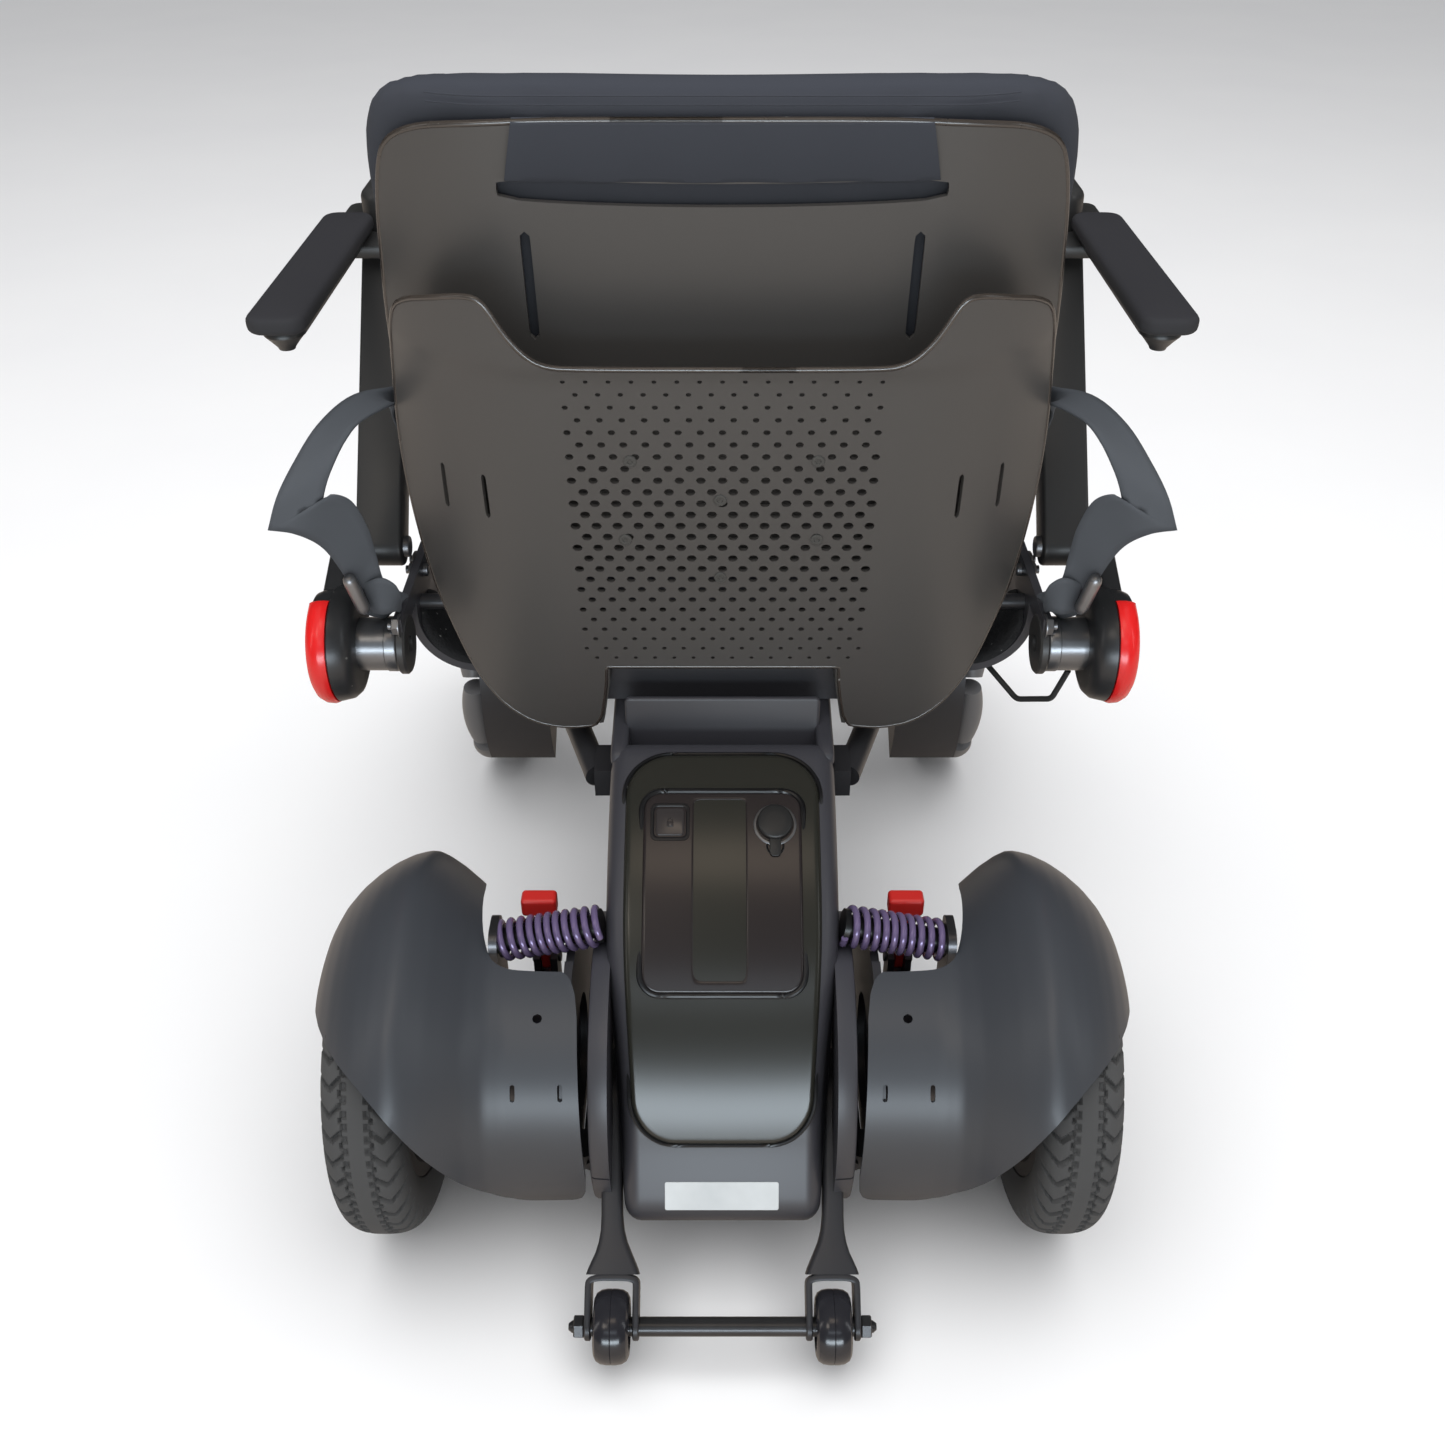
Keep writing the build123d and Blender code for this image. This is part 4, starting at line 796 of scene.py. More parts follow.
class WHEELCHAIR_OT_finishes(bpy.types.Operator):
    """Makes the finishes and sets the material slots of the CAD pieces that keep their shape"""

    bl_idname = "wheelchair.finishes"
    bl_label = "Finishes"

    def execute(self, context):
        GROUPS.update(grain=group_grain(), dust=group_dust(), weave=group_weave(), scuffs=group_scuffs())
        c = colours()
        plastic("housing_plastic", c["housing"], 0.33, dust=0.1, spec=0.35)
        plastic("fender_plastic", c["housing"], 0.24, dust=0.08, spec=0.6)
        plastic("shell_plastic", c["shell"], 0.32, 700.0, 0.03, dust=0.2, spec=1.0)
        # The rim's colour is the shell's made 1.4 times lighter: a painted highlight along the shell's edge.
        plastic("shell_rim", tuple(v * 1.4 for v in c["shell"]), 0.26, 700.0, 0.01, dust=0.2, spec=1.0)
        plastic("plug_plastic", tuple(v * 0.8 for v in c["shell"]), 0.5)
        plastic("inner_plastic", (0.003, 0.003, 0.0032), 0.6, dust=0.08, spec=0.3)
        plastic("arm_plastic", (0.005, 0.005, 0.0056), 0.36, dust=0.12)
        plastic("pod_plastic", (0.009, 0.009, 0.01), 0.4)
        plastic("buckle_plastic", (0.015, 0.015, 0.016), 0.4)
        plastic("footplate_plastic", (0.025, 0.025, 0.028), 0.55, 300.0, 0.08, dust=0.5)
        plastic("lever_red", (0.55, 0.012, 0.01), 0.35, dust=0.1)
        plastic("knob_rubber", (0.014, 0.014, 0.015), 0.6, 600.0, 0.04)
        plastic("cap_rubber", (0.008, 0.008, 0.009), 0.38, 600.0, 0.03, dust=0.15)
        plastic("cable_black", (0.012, 0.012, 0.013), 0.5, 300.0)
        plastic("roller_rubber", (0.05, 0.05, 0.053), 0.38, 400.0, 0.05, dust=0.5, metallic=0.2)
        plastic("frame_paint", c["frame"], 0.36, 500.0, 0.02, dust=0.12, spec=0.5)
        plastic("arm_metal", (0.02, 0.021, 0.025), 0.32, 700.0, 0.02, dust=0.25, spec=0.6)
        plastic("cradle_paint", (0.07, 0.078, 0.09), 0.28, 500.0, 0.03, dust=0.6, metallic=0.5, spec=0.8)
        plastic("motor_case", (0.05, 0.05, 0.055), 0.45, 350.0, 0.06, metallic=0.6)
        plastic("rim_paint", (0.05, 0.05, 0.054), 0.4, 300.0, 0.03, metallic=0.5)
        plastic("omni_core", (0.2, 0.2, 0.21), 0.38, 300.0, 0.03, metallic=0.8)
        plastic("bolt_steel", (0.22, 0.22, 0.23), 0.3, 900.0, 0.01, metallic=0.9)
        plastic("electronics_case", (0.1, 0.1, 0.105), 0.4, 300.0, 0.02, metallic=0.8)
        plastic("spring_violet", c["spring"], 0.16, 300.0, 0.005, dust=0.05, coat=0.6, metallic=0.3)
        plastic("rod_satin", (0.05, 0.05, 0.052), 0.3, 500.0, 0.02, dust=0.2, metallic=0.7)
        plastic("tube_grey", (0.2, 0.205, 0.215), 0.32, 600.0, 0.02, dust=0.2, metallic=0.85)
        plastic("bracket_satin", (0.035, 0.036, 0.038), 0.32, 700.0, 0.02, dust=0.3, metallic=0.4)
        plastic("core_black", (0.006, 0.006, 0.007), 0.35)
        plastic("label_white", (0.5, 0.52, 0.52), 0.35, 300.0, 0.01, dust=0.0)
        plastic("fuzz_pad", (0.01, 0.01, 0.011), 0.95, 500.0, 0.6, dust=0.5)
        gloss("cover_gloss", c["cover"])
        gloss("battery_gloss", c["cover"])
        gloss("button_gloss", (0.03, 0.027, 0.025), 0.12)
        gloss("tip_wheel_plastic", (0.014, 0.014, 0.015), 0.1)
        cloth("seat_fabric", c["cloth"], sizes().threads)
        cloth("back_fabric", c["cloth"], sizes().threads)
        webbing("belt_webbing", c["belt"])
        lens("reflector_red", c["reflector"])
        tyre_rubber("rear_tyre", (0.08, 0.082, 0.085), c["dust"])
        pad_skin("pad_foam", (0.012, 0.0122, 0.013))
        for part in frame["record"]["subparts"]:
            mesh = frame["nodes"][part["node"]].data
            mesh.materials.clear()
            mesh.materials.append(material_of(part["material_slot"]))
        return {"FINISHED"}


# ---- Backrest ----------------------------------------------------------------------------
def mirrored_outline(half):
    """Closes an outline given for x above 0 with its mirror image."""
    half = np.asarray(half, float)
    other = half[::-1] * [-1, 1]
    return np.concatenate([half, other])


class WHEELCHAIR_OT_lower_shell(bpy.types.Operator):
    """Makes the back's lower shell, with its vents and slots"""

    bl_idname = "wheelchair.lower_shell"
    bl_label = "Lower back shell"

    def execute(self, context):
        """A grid in (arc length across, height up the back). Every vent takes a block of four
        cells by two, and alternate rows move half a pitch. The sheet then wraps forwards."""
        flat, radius = 108.0, 140.0
        pitch, row = 14.15, 9.3
        du, dv = pitch / 4, row / 2
        nu_half = 66
        us = np.arange(-nu_half, nu_half + 1) * du
        j_low, j_high = 66, 14
        vs = np.arange(-j_low, j_high + 1) * dv
        half = np.array([
            (86, -242), (87, -262), (94, -303), (110, -305), (125, -306), (146.4, -303), (166, -291.5),
            (177.4, -279),
            (190, -259.5), (202.5, -226), (213.3, -193.6), (219.3, -161), (223.8, -129.3), (228.4, -100),
            (231.7, -72),
            (232.5, -44), (227.5, -12.7), (222, 13.4), (214, 32), (199, 41.5), (183.6, 46.5), (165.6, 52),
            (151.5, 54.5),
            (144.6, 52.2), (139.3, 44.1), (133.3, 33.2), (126.7, 23.9), (118.1, 15.2), (109, 10.9),
            (99.7, 9.3), (60, 8.7), (10, 8.6),
        ], float)
        line = cut_corners(half, 1, closed=False)
        outline = mirrored_outline(line[::-1])[::-1]
        small, large = sizes().vent_small / MM, sizes().vent_large / MM
        holes = []
        rows = 26
        for k in range(rows):
            share = k / (rows - 1)
            size = small + (large - small) * np.sin(np.pi * share) ** 1.2
            shift = 2 if k % 2 else 0
            columns = range(-7, 7) if k % 2 else range(-7, 8)
            j = j_low - 2 * k
            for c in columns:
                i = nu_half + 4 * c + shift
                holes.append((i - 2, i + 2, j - 1, j + 1, size, min(size * 0.82, 3.4), 2.0))
        for s in (-1, 1):
            for a0 in (190, 159):
                i = nu_half + int(round(s * a0 / du))
                j0 = j_low - int(round(113 / dv))
                holes.append((i - 1, i + 1, j0, j0 + 8, 1.8, 17.8, 6.0))

        def place(p):
            t = np.clip((-p[:, 1] - 20) / 140, 0, 1)
            x, n = wrapped(p[:, 0], flat, radius + 35 * t * t * (3 - 2 * t), 0.0)
            # The sheet's lower end leans forwards a little, and its top rim rolls backwards.
            n = n + 1.6 * np.clip((p[:, 1] + 6) / 16, 0, 1) ** 2
            return back_place(x, n, p[:, 1])

        v, f = panel(us, vs, outline, holes, place)
        shell = emit("back_shell_lower", v, f, "shell_plastic", "backrest", ["back_lower_shell"])
        bm = bmesh.new()
        bm.from_mesh(shell.data)
        if sum(q.normal.y for q in bm.faces) < 0:
            bmesh.ops.reverse_faces(bm, faces=bm.faces)
        bm.to_mesh(shell.data)
        bm.free()
        thicken(shell, 3.2, 40.0)
        # The bead carries the lighter rim colour, a painted highlight along the edge.
        rim_bead("lower_rim", outline, lambda p: place(p) + [0, -1.5, 0], 1.9, "shell_rim", "backrest")
        self.screws()
        self.tabs()
        return {"FINISHED"}

    def screws(self):
        """Small round plugs, each a turned dome with a dimple."""
        parts = []
        a = np.linspace(0, 2 * np.pi, 20, endpoint=False)
        for x, s in ((-62, -59), (60, -59), (1.5, -90), (-64, -123), (66, -123), (1.5, -156)):
            rings = []
            for r, n in ((4.4, -0.5), (4.4, 0.5), (4.0, 0.9), (3.0, 1.0), (2.0, 0.9), (1.6, 0.3)):
                rings.append(back_place(x + r * np.cos(a), np.full(20, n), s + r * np.sin(a)))
            parts.append(skin(rings))
        v, f = joined(*parts)
        emit("back_plugs", v, f, "plug_plastic", "backrest", ["back_shell_plugs"])

    def tabs(self):
        """Folded flanges beside the notch at the shell's foot: thin tapered plates that turn forwards."""
        parts = []
        for s in (-1, 1):
            s_line = np.linspace(-301, -243, 12)
            share = np.linspace(0, 1, 12)
            x_edge = np.interp(s_line, [-303, -262, -242], [94, 87, 86])
            depth = 4 + 16 * np.sin(np.pi * np.clip(share * 0.9 + 0.1, 0, 1)) ** 0.7
            rings = []
            for k in range(12):
                x0, d = x_edge[k], depth[k]
                loop = np.array(
                    [(x0 + 0.6, 0.0), (x0 - 2.4, -0.8), (x0 - 3.4, -d), (x0 - 0.8, -d), (x0 + 0.8, -3.0)]
                )
                rings.append(back_place(s * loop[:, 0], loop[:, 1], np.full(5, s_line[k])))
            parts.append(skin(rings))
        v, f = joined(*parts)
        emit("back_shell_tabs", v, f, "shell_plastic", "backrest")


class WHEELCHAIR_OT_upper_shell(bpy.types.Operator):
    """Makes the back's upper shell with its slots, and the cloth flap tucked into it"""

    bl_idname = "wheelchair.upper_shell"
    bl_label = "Upper back shell"

    def execute(self, context):
        """A grid in (arc length across, height up the back), wrapped forwards on a wide arc."""
        flat, radius, n0 = 128.0, 150.0, -48.0
        step = 4.0
        us = np.arange(-60, 61) * step
        vs = np.arange(-48, 37) * step
        half = np.array([
            (0, 141), (90, 141), (131, 140), (165, 137.2), (182.5, 133.2), (195.4, 127), (204, 119.3),
            (209.1, 109.4),
            (214.3, 91.5), (219.1, 65.5), (222, 38.9), (225.9, 8), (228.3, -32.8), (231.7, -80),
            (226.4, -126), (215, -160),
            (185, -186), (120, -190), (10, -190),
        ], float)
        outline = mirrored_outline(cut_corners(half, 1, closed=False))
        zero = 60
        base = 48
        holes = []
        for s in (-1, 1):
            i = zero + s * 30
            holes.append((i - 1, i + 1, base + 0, base + 19, 3.2, 37.0, 8.0))
        holes.append((zero - 34, zero + 34, base + 23, base + 28, 134.0, 6.8, 7.0))

        def place(p):
            x, n = wrapped(p[:, 0], flat, radius, n0)
            sag = -6.5 * np.clip(1 - (p[:, 0] / 150) ** 2, 0, 1) * np.clip(
                1 - np.abs(p[:, 1] - 100) / 34, 0, 1
            )
            return back_place(x, n, p[:, 1] + sag)

        v, f = panel(us, vs, outline, holes, place)
        shell = emit("back_shell_upper", v, f, "shell_plastic", "backrest", ["back_upper_shell"])
        bm = bmesh.new()
        bm.from_mesh(shell.data)
        if sum(q.normal.y for q in bm.faces) < 0:
            bmesh.ops.reverse_faces(bm, faces=bm.faces)
        bm.to_mesh(shell.data)
        bm.free()
        thicken(shell, 3.6, 40.0)
        # The bead carries the lighter rim colour, a painted highlight along the edge.
        rim_bead("upper_rim", outline, lambda p: place(p) + [0, -1.7, 0], 2.1, "shell_rim", "backrest")
        self.flap()
        return {"FINISHED"}

    def flap(self):
        """Cloth from over the shell's top edge down into its slot: a sheet that hugs the shell."""
        u = np.linspace(-1, 1, 61)
        v = np.linspace(0, 1, 15)
        U, V = np.meshgrid(u, v, indexing="ij")
        x = (121 + 8 * V) * U
        sag = -6.5 * (1 - (x / 150) ** 2)
        top = 142.5
        bottom = 104.5 + sag * 0.3
        s = top + (bottom - top) * V
        n = -48 + 2.6 * np.sin(np.pi * np.clip(V * 1.05, 0, 1)) ** 0.5 + 0.5 * np.sin(x * 0.11) * V
        n = np.where(V > 0.97, -50.5, n)
        n = np.where(V < 0.02, -50.0, n)
        pts = back_place(x, n, s).reshape(-1, 3)
        flap = emit("back_flap", pts, grid_faces(61, 15), "back_fabric", "backrest")
        thicken(flap, 1.6)


def cushion_form(half_u, half_v, depth, corner, crown, pull, count=96, layers=15):
    """A crowned closed form: rings of a rounded rectangle whose sides pull in between corners.

    Ring k sits at depth * sin(t), its outline shrinks by a superellipse of t, and the faces
    swell by crown * (1 - r^2)^2 towards the middle.
    """
    a = np.linspace(0, 2 * np.pi, count, endpoint=False)
    power = 2 + 6 * (1 - corner)
    base = (np.abs(np.cos(a)) ** power + np.abs(np.sin(a)) ** power) ** (-1 / power)
    waist = 1 - pull * np.cos(2 * a) ** 2 * (np.abs(np.cos(a)) * np.abs(np.sin(a)) < 0.45)
    u, v = half_u * base * np.cos(a), half_v * base * np.sin(a) * waist
    rings = []
    for k in range(layers):
        t = np.pi * (k / (layers - 1) - 0.5)
        grow = 1 - 0.06 * (1 - np.abs(np.cos(t)) ** 0.5)
        w = depth / 2 * np.sign(np.sin(t)) * np.abs(np.sin(t)) ** 0.8
        rings.append(np.column_stack([u * grow, v * grow, np.full(count, w)]))
    lids = []
    for share in (0.9, 0.75, 0.55, 0.3, 0.08):
        w = depth / 2 + crown * (1 - share**2) ** 1.5
        lids.append(np.column_stack([u * 0.94 * share, v * 0.94 * share, np.full(count, w)]))
    back = [q * [1, 1, -1] for q in lids[::-1]]
    for q in back:
        q[:, 2] = np.maximum(q[:, 2], -depth / 2 - crown * 0.2)
    return np.array(back + rings + lids)


def inflate(obj, cap_mm):
    """Lets a pad swell like stuffed cloth, and holds every point within a cap of its start."""
    remesh = obj.modifiers.new("voxels", "REMESH")
    remesh.mode = "VOXEL"
    remesh.voxel_size = 0.006
    depth = bpy.context.evaluated_depsgraph_get()
    mesh = bpy.data.meshes.new_from_object(obj.evaluated_get(depth))
    obj.modifiers.clear()
    obj.data = mesh
    count = len(mesh.vertices)
    start = np.empty(count * 3)
    mesh.vertices.foreach_get("co", start)
    sim = obj.modifiers.new("swell", "CLOTH")
    sim.settings.use_pressure = True
    sim.settings.uniform_pressure_force = 4.0
    sim.settings.effector_weights.gravity = 0.0
    sim.settings.quality = 4
    for step in range(1, 15):
        bpy.context.scene.frame_set(step)
    depth = bpy.context.evaluated_depsgraph_get()
    swollen = bpy.data.meshes.new_from_object(obj.evaluated_get(depth))
    end = np.empty(len(swollen.vertices) * 3)
    swollen.vertices.foreach_get("co", end)
    move = (end - start).reshape(-1, 3)
    length = np.linalg.norm(move, axis=1, keepdims=True)
    cap = cap_mm * MM
    move *= np.minimum(1, cap / np.maximum(length, 1e-9))
    swollen.vertices.foreach_set("co", (start.reshape(-1, 3) + move).ravel())
    obj.modifiers.clear()
    obj.data = swollen
    bpy.context.scene.frame_set(1)
    obj.data.shade_smooth()


class WHEELCHAIR_OT_cushions(bpy.types.Operator):
    """Makes the back cushion with its seams, and the seat cushion"""

    bl_idname = "wheelchair.cushions"
    bl_label = "Cushions"

    def execute(self, context):
        self.back()
        self.seat()
        return {"FINISHED"}

    def back(self):
        """The cushion form stood up in the back's frame, its sides bent forwards like the shell."""
        rings = cushion_form(220, 171, 32, 0.16, 7.0, 0.012)
        p = rings.reshape(-1, 3)
        a = p[:, 0]
        x, n = wrapped(a * 1.035, 128.0, 150.0, 0.0)
        s = p[:, 1] - 11
        pts = back_place(x, n - 76.5 - p[:, 2], s)
        _, f = skin(rings)
        pad = emit("back_pad", pts, f, "back_fabric", "backrest", ["back_cushion"], sharp=80)
        inflate(pad, 4.5)
        lines = []
        for inset in (0.0, 5.5):
            u = np.linspace(-170, 170, 60)
            xx, nn = wrapped(u, 128.0, 150.0, 0.0)
            lines.append(
                tube(back_place(xx, nn - 51.5 + 3 - inset * 0.2, np.full(60, 155.0 - inset)), 0.55, 8)
            )
        v, fl = joined(*lines)
        emit("back_seams", v, fl, "back_fabric", "backrest")

    def seat(self):
        """The cushion form laid on the pan, its front edge turned down over the pan's lip."""
        rings = cushion_form(199, 183, 42, 0.22, 5.0, 0.012)
        p = rings.reshape(-1, 3)
        y = -100 + p[:, 1]
        z = 415 + p[:, 2] - 7 * np.clip((-y - 230) / 60, 0, 1) ** 2
        pts = np.stack([p[:, 0], y, z], 1)
        _, f = skin(rings)
        pad = emit("seat_pad", pts, f, "seat_fabric", "chair", ["seat_cushion"], sharp=80)
        inflate(pad, 5)


# ---- Fenders -----------------------------------------------------------------------------
FENDER_X = [101, 110, 130, 152, 166, 178, 190, 202, 214, 221, 226, 236, 248, 259, 270, 279, 285, 287.5]
FENDER_R = [
    110, 110, 110, 110.4, 113.5, 121.0, 131.5, 141.5, 149.4, 152.4, 152.2, 149.6, 144, 136.5, 127, 116.5,
    106.5, 100
]
FENDER_EDGE_X = [101, 128, 145, 158, 174, 190, 206, 221, 239, 263, 275, 288, 294]
FENDER_EDGE_A = [117, 118.5, 117.5, 109, 95, 80.5, 69, 60, 52.5, 44, 37, 24, 8]


class WHEELCHAIR_OT_fenders(bpy.types.Operator):
    """Makes both fenders with their holes and slots"""

    bl_idname = "wheelchair.fenders"
    bl_label = "Fenders"

    def execute(self, context):
        """A grid in (distance over the profile, angle about the axle). The radius follows the
        profile at each place, and the outline is the rear edge that climbs outwards."""
        x = np.array(FENDER_X, float)
        r = np.array(FENDER_R, float)
        run = np.concatenate([[0], np.cumsum(np.hypot(np.diff(x), np.diff(r)))])
        du, da = 4.0, 1.9
        us = np.arange(0, int(run[-1] / du) + 2) * du
        vs = np.arange(-44, 66) * da
        at = lambda xs: np.interp(xs, x, run)
        rear = [(at(a), b) for a, b in zip(FENDER_EDGE_X, FENDER_EDGE_A)]
        front = [
            (run[-1] - 1, -30), (run[-1] - 6, -62), (at(268), -75), (at(240), -80), (at(205), -76),
            (at(184), -50),
            (at(176), -10), (at(168), 6), (at(158), 11), (at(130), 12), (0.0, 12),
        ]
        line = cut_corners(np.array([(0.0, 60.0), (0.0, 116.0)] + rear[1:] + front, float), 2)
        holes = []
        i_hole = int(round((128 - 101) / du))
        j_hole = 44 + int(round(29.5 / da))
        holes.append((i_hole - 1, i_hole + 1, j_hole - 2, j_hole + 2, 3.4, 3.4 / (110 * np.pi / 180), 2.0))
        for x_slot in (113, 145):
            i = int(round((x_slot - 101) / du))
            j = 44 + int(round(56.5 / da))
            holes.append((i - 1, i + 1, j - 2, j + 2, 1.7, 6.2 / (110 * np.pi / 180), 5.0))
        for name, s in SIDES:

            def place(p):
                xx = np.interp(p[:, 0], run, x)
                rr = np.interp(p[:, 0], run, r)
                lean = np.clip((p[:, 1]) / 110, 0, 1)
                edge = np.clip(1 - (xx - 101) / 30, 0, 1)
                xx = xx + edge * (2.6 - 7.5 * lean)
                a = np.radians(p[:, 1])
                return np.stack([s * xx, REAR_AXLE[0] + rr * np.sin(a), REAR_AXLE[1] + rr * np.cos(a)], 1)

            v, f = panel(us, vs, line, holes, place)
            fender = emit(name + "_fender_shell", v, f, "fender_plastic", name + "_drive", [name + "_fender"])
            bm = bmesh.new()
            bm.from_mesh(fender.data)
            centre = Vector((0, REAR_AXLE[0] * MM, REAR_AXLE[1] * MM))
            total = sum((q.calc_center_median() - centre).yz.dot(q.normal.yz) for q in bm.faces)
            if total < 0:
                bmesh.ops.reverse_faces(bm, faces=bm.faces)
            bm.to_mesh(fender.data)
            bm.free()
            thicken(fender, 2.6, 40.0)
        return {"FINISHED"}


# ---- Drive housing -----------------------------------------------------------------------
def housing_side():
    """The housing's side view: the cover's arc, then down, under and up the front."""
    run = np.linspace(0, COVER_LENGTH, 40)
    arc = on_cover(0.0, run, 0.0)[:, 1:]
    rest = np.array(
        [
            (404, 118), (415, 97), (412, 81), (396, 73), (172, 74), (166, 120), (166, 300), (170, 332),
            (178, 335)
        ],
        float
    )
    rest = cut_corners(np.concatenate([arc[-1:], rest, arc[:1]]), 3, closed=False)[1:-1]
    return np.concatenate([arc, rest])[::-1]


class WHEELCHAIR_OT_housing(bpy.types.Operator):
    """Makes the drive housing, its round flanks, the gloss cover and the label"""

    bl_idname = "wheelchair.housing"
    bl_label = "Drive housing"

    def execute(self, context):
        outline = housing_side()

        def place(v):
            p = across_x(v)
            t = np.clip((p[:, 1] - 285) / 95, 0, 1)
            p[:, 0] *= 1 - 0.155 * t * t * (3 - 2 * t)
            return p

        v, f = slab(outline, -84.0, 84.0, 15.0, place, steps=6)
        emit("housing_body", v, f, "housing_plastic", "chair", ["housing_shell"], sharp=50)
        self.cover()
        self.flanks()
        cheek = cut_corners(
            np.array([(78, 136), (190, 96), (190, 328), (178, 336), (150, 338), (96, 350), (78, 330)], float),
            2
        )
        parts = [slab(cheek, w, w + 13, 4.0, across_x, steps=3) for w in (-84.0, 71.0)]
        parts.append(
            slab(
                rounded_box_outline(74, 91, 4, 4), 150, 154, 1.5,
                lambda v: np.stack([v[:, 0], v[:, 2], 271 + v[:, 1]], 1), steps=2
            )
        )
        v, f = joined(*parts)
        emit("column_cheeks", v, f, "housing_plastic", "chair", sharp=50)
        self.label()
        return {"FINISHED"}

    def cover(self):
        """A plate over the arc: its height falls off at the rim like a quarter circle."""
        nx, nr = 90, 190
        half = 71.0
        start, end = 5.0, COVER_LENGTH - 6.0
        middle, half_run = (start + end) / 2, (end - start) / 2
        U, V = np.meshgrid(np.linspace(-1, 1, nx), np.linspace(-1, 1, nr), indexing="ij")
        # Square rings squeezed onto a rounded rectangle, so that the rim is a smooth outline.
        corner = 34.0
        x, q = U * half, V * half_run
        over_x = np.maximum(np.abs(x) - (half - corner), 0)
        over_q = np.maximum(np.abs(q) - (half_run - corner), 0)
        m = np.maximum(over_x, over_q)
        d = np.hypot(over_x, over_q)
        pull = np.where(d > 0, m / np.maximum(d, 1e-9), 1.0)
        x = np.sign(x) * (np.abs(x) - over_x + over_x * pull)
        q = np.sign(q) * (np.abs(q) - over_q + over_q * pull)
        rim = np.minimum(half - np.abs(U) * half, half_run - np.abs(V) * half_run)
        lift = 2.2 - 2.6 * (1 - np.clip(rim / 4.0, 0, 1)) ** 2.5 + 1.2 * (1 - (x / half) ** 2)
        x = x * self.taper(middle + q)
        top = on_cover(x, middle + q, lift).reshape(-1, 3)
        low = on_cover(x, middle + q, -4.0).reshape(-1, 3)
        f = grid_faces(nx, nr)
        edge = np.concatenate([
            np.arange(nr), np.arange(1, nx) * nr + nr - 1, (nx - 1) * nr + np.arange(
                nr - 2, -1, -1
            ), np.arange(nx - 2, 0, -1) * nr,
        ])
        wall = np.stack([edge, np.roll(edge, -1), np.roll(edge, -1) + nx * nr, edge + nx * nr], 1)
        faces = np.concatenate([f, f[:, ::-1] + nx * nr, wall[:, ::-1]])
        emit(
            "gloss_plate", np.concatenate([top, low]), faces, "cover_gloss", "chair", ["gloss_cover"],
            sharp=60
        )
        loop = rounded_box_outline(half + 1.3, half_run + 1.3, corner + 1, 12)
        path = on_cover(loop[:, 0] * self.taper(middle + loop[:, 1]), middle + loop[:, 1], 0.1)
        path = np.concatenate([path, path[:2]])
        v, fl = tube(resample(path, 220), 1.5, 8, up=(1, 0.02, 0.01))
        emit("cover_gap", v, fl, "core_black", "chair")

    def taper(self, run):
        """The cover narrows by a tenth along its lower half."""
        t = np.clip((run - 120) / 170, 0, 1)
        return 1 - 0.1 * t * t * (3 - 2 * t)

    def flanks(self):
        """Round flanks beside the housing: a rounded strip turned about the axle, in two
        lengths with a fine joint between them."""
        for name, s in SIDES:
            parts = []
            for low, high in ((-30.0, 96.2), (97.2, 119.0)):
                a = np.radians(np.linspace(low, high, 60))
                strip = np.array([(80, 60), (93.5, 60), (94, 104), (93.3, 107), (91, 108.4), (80, 109.2)])
                rings = [
                    np.stack(
                        [
                            s * strip[:, 0], REAR_AXLE[0] + strip[:, 1] * np.sin(t),
                            REAR_AXLE[1] + strip[:, 1] * np.cos(t)
                        ],
                        1
                    )
                    for t in a
                ]
                rings = np.array(rings)
                rings[..., 2] = np.maximum(rings[..., 2], 80.0)
                parts.append(skin(rings))
            v, f = joined(*parts)
            emit(name + "_flank", v, f, "housing_plastic", "chair")

    def label(self):
        """A plain white plate low on the housing's rear."""
        outline = rounded_box_outline(40.5, 10.5, 1.4, 4)
        a = np.radians(28)
        out = np.array([0, np.cos(a), np.sin(a)])
        down = np.array([0, np.sin(a), -np.cos(a)])
        centre = np.array([0.5, 408.9, 108.0])

        def place(p):
            return centre + p[:, :1] * [1, 0, 0] + p[:, 1:2] * down + p[:, 2:3] * out

        v, f = slab(outline, -0.4, 0.5, 0.2, place, steps=1)
        emit("label_plate", v, f, "label_white", "chair")


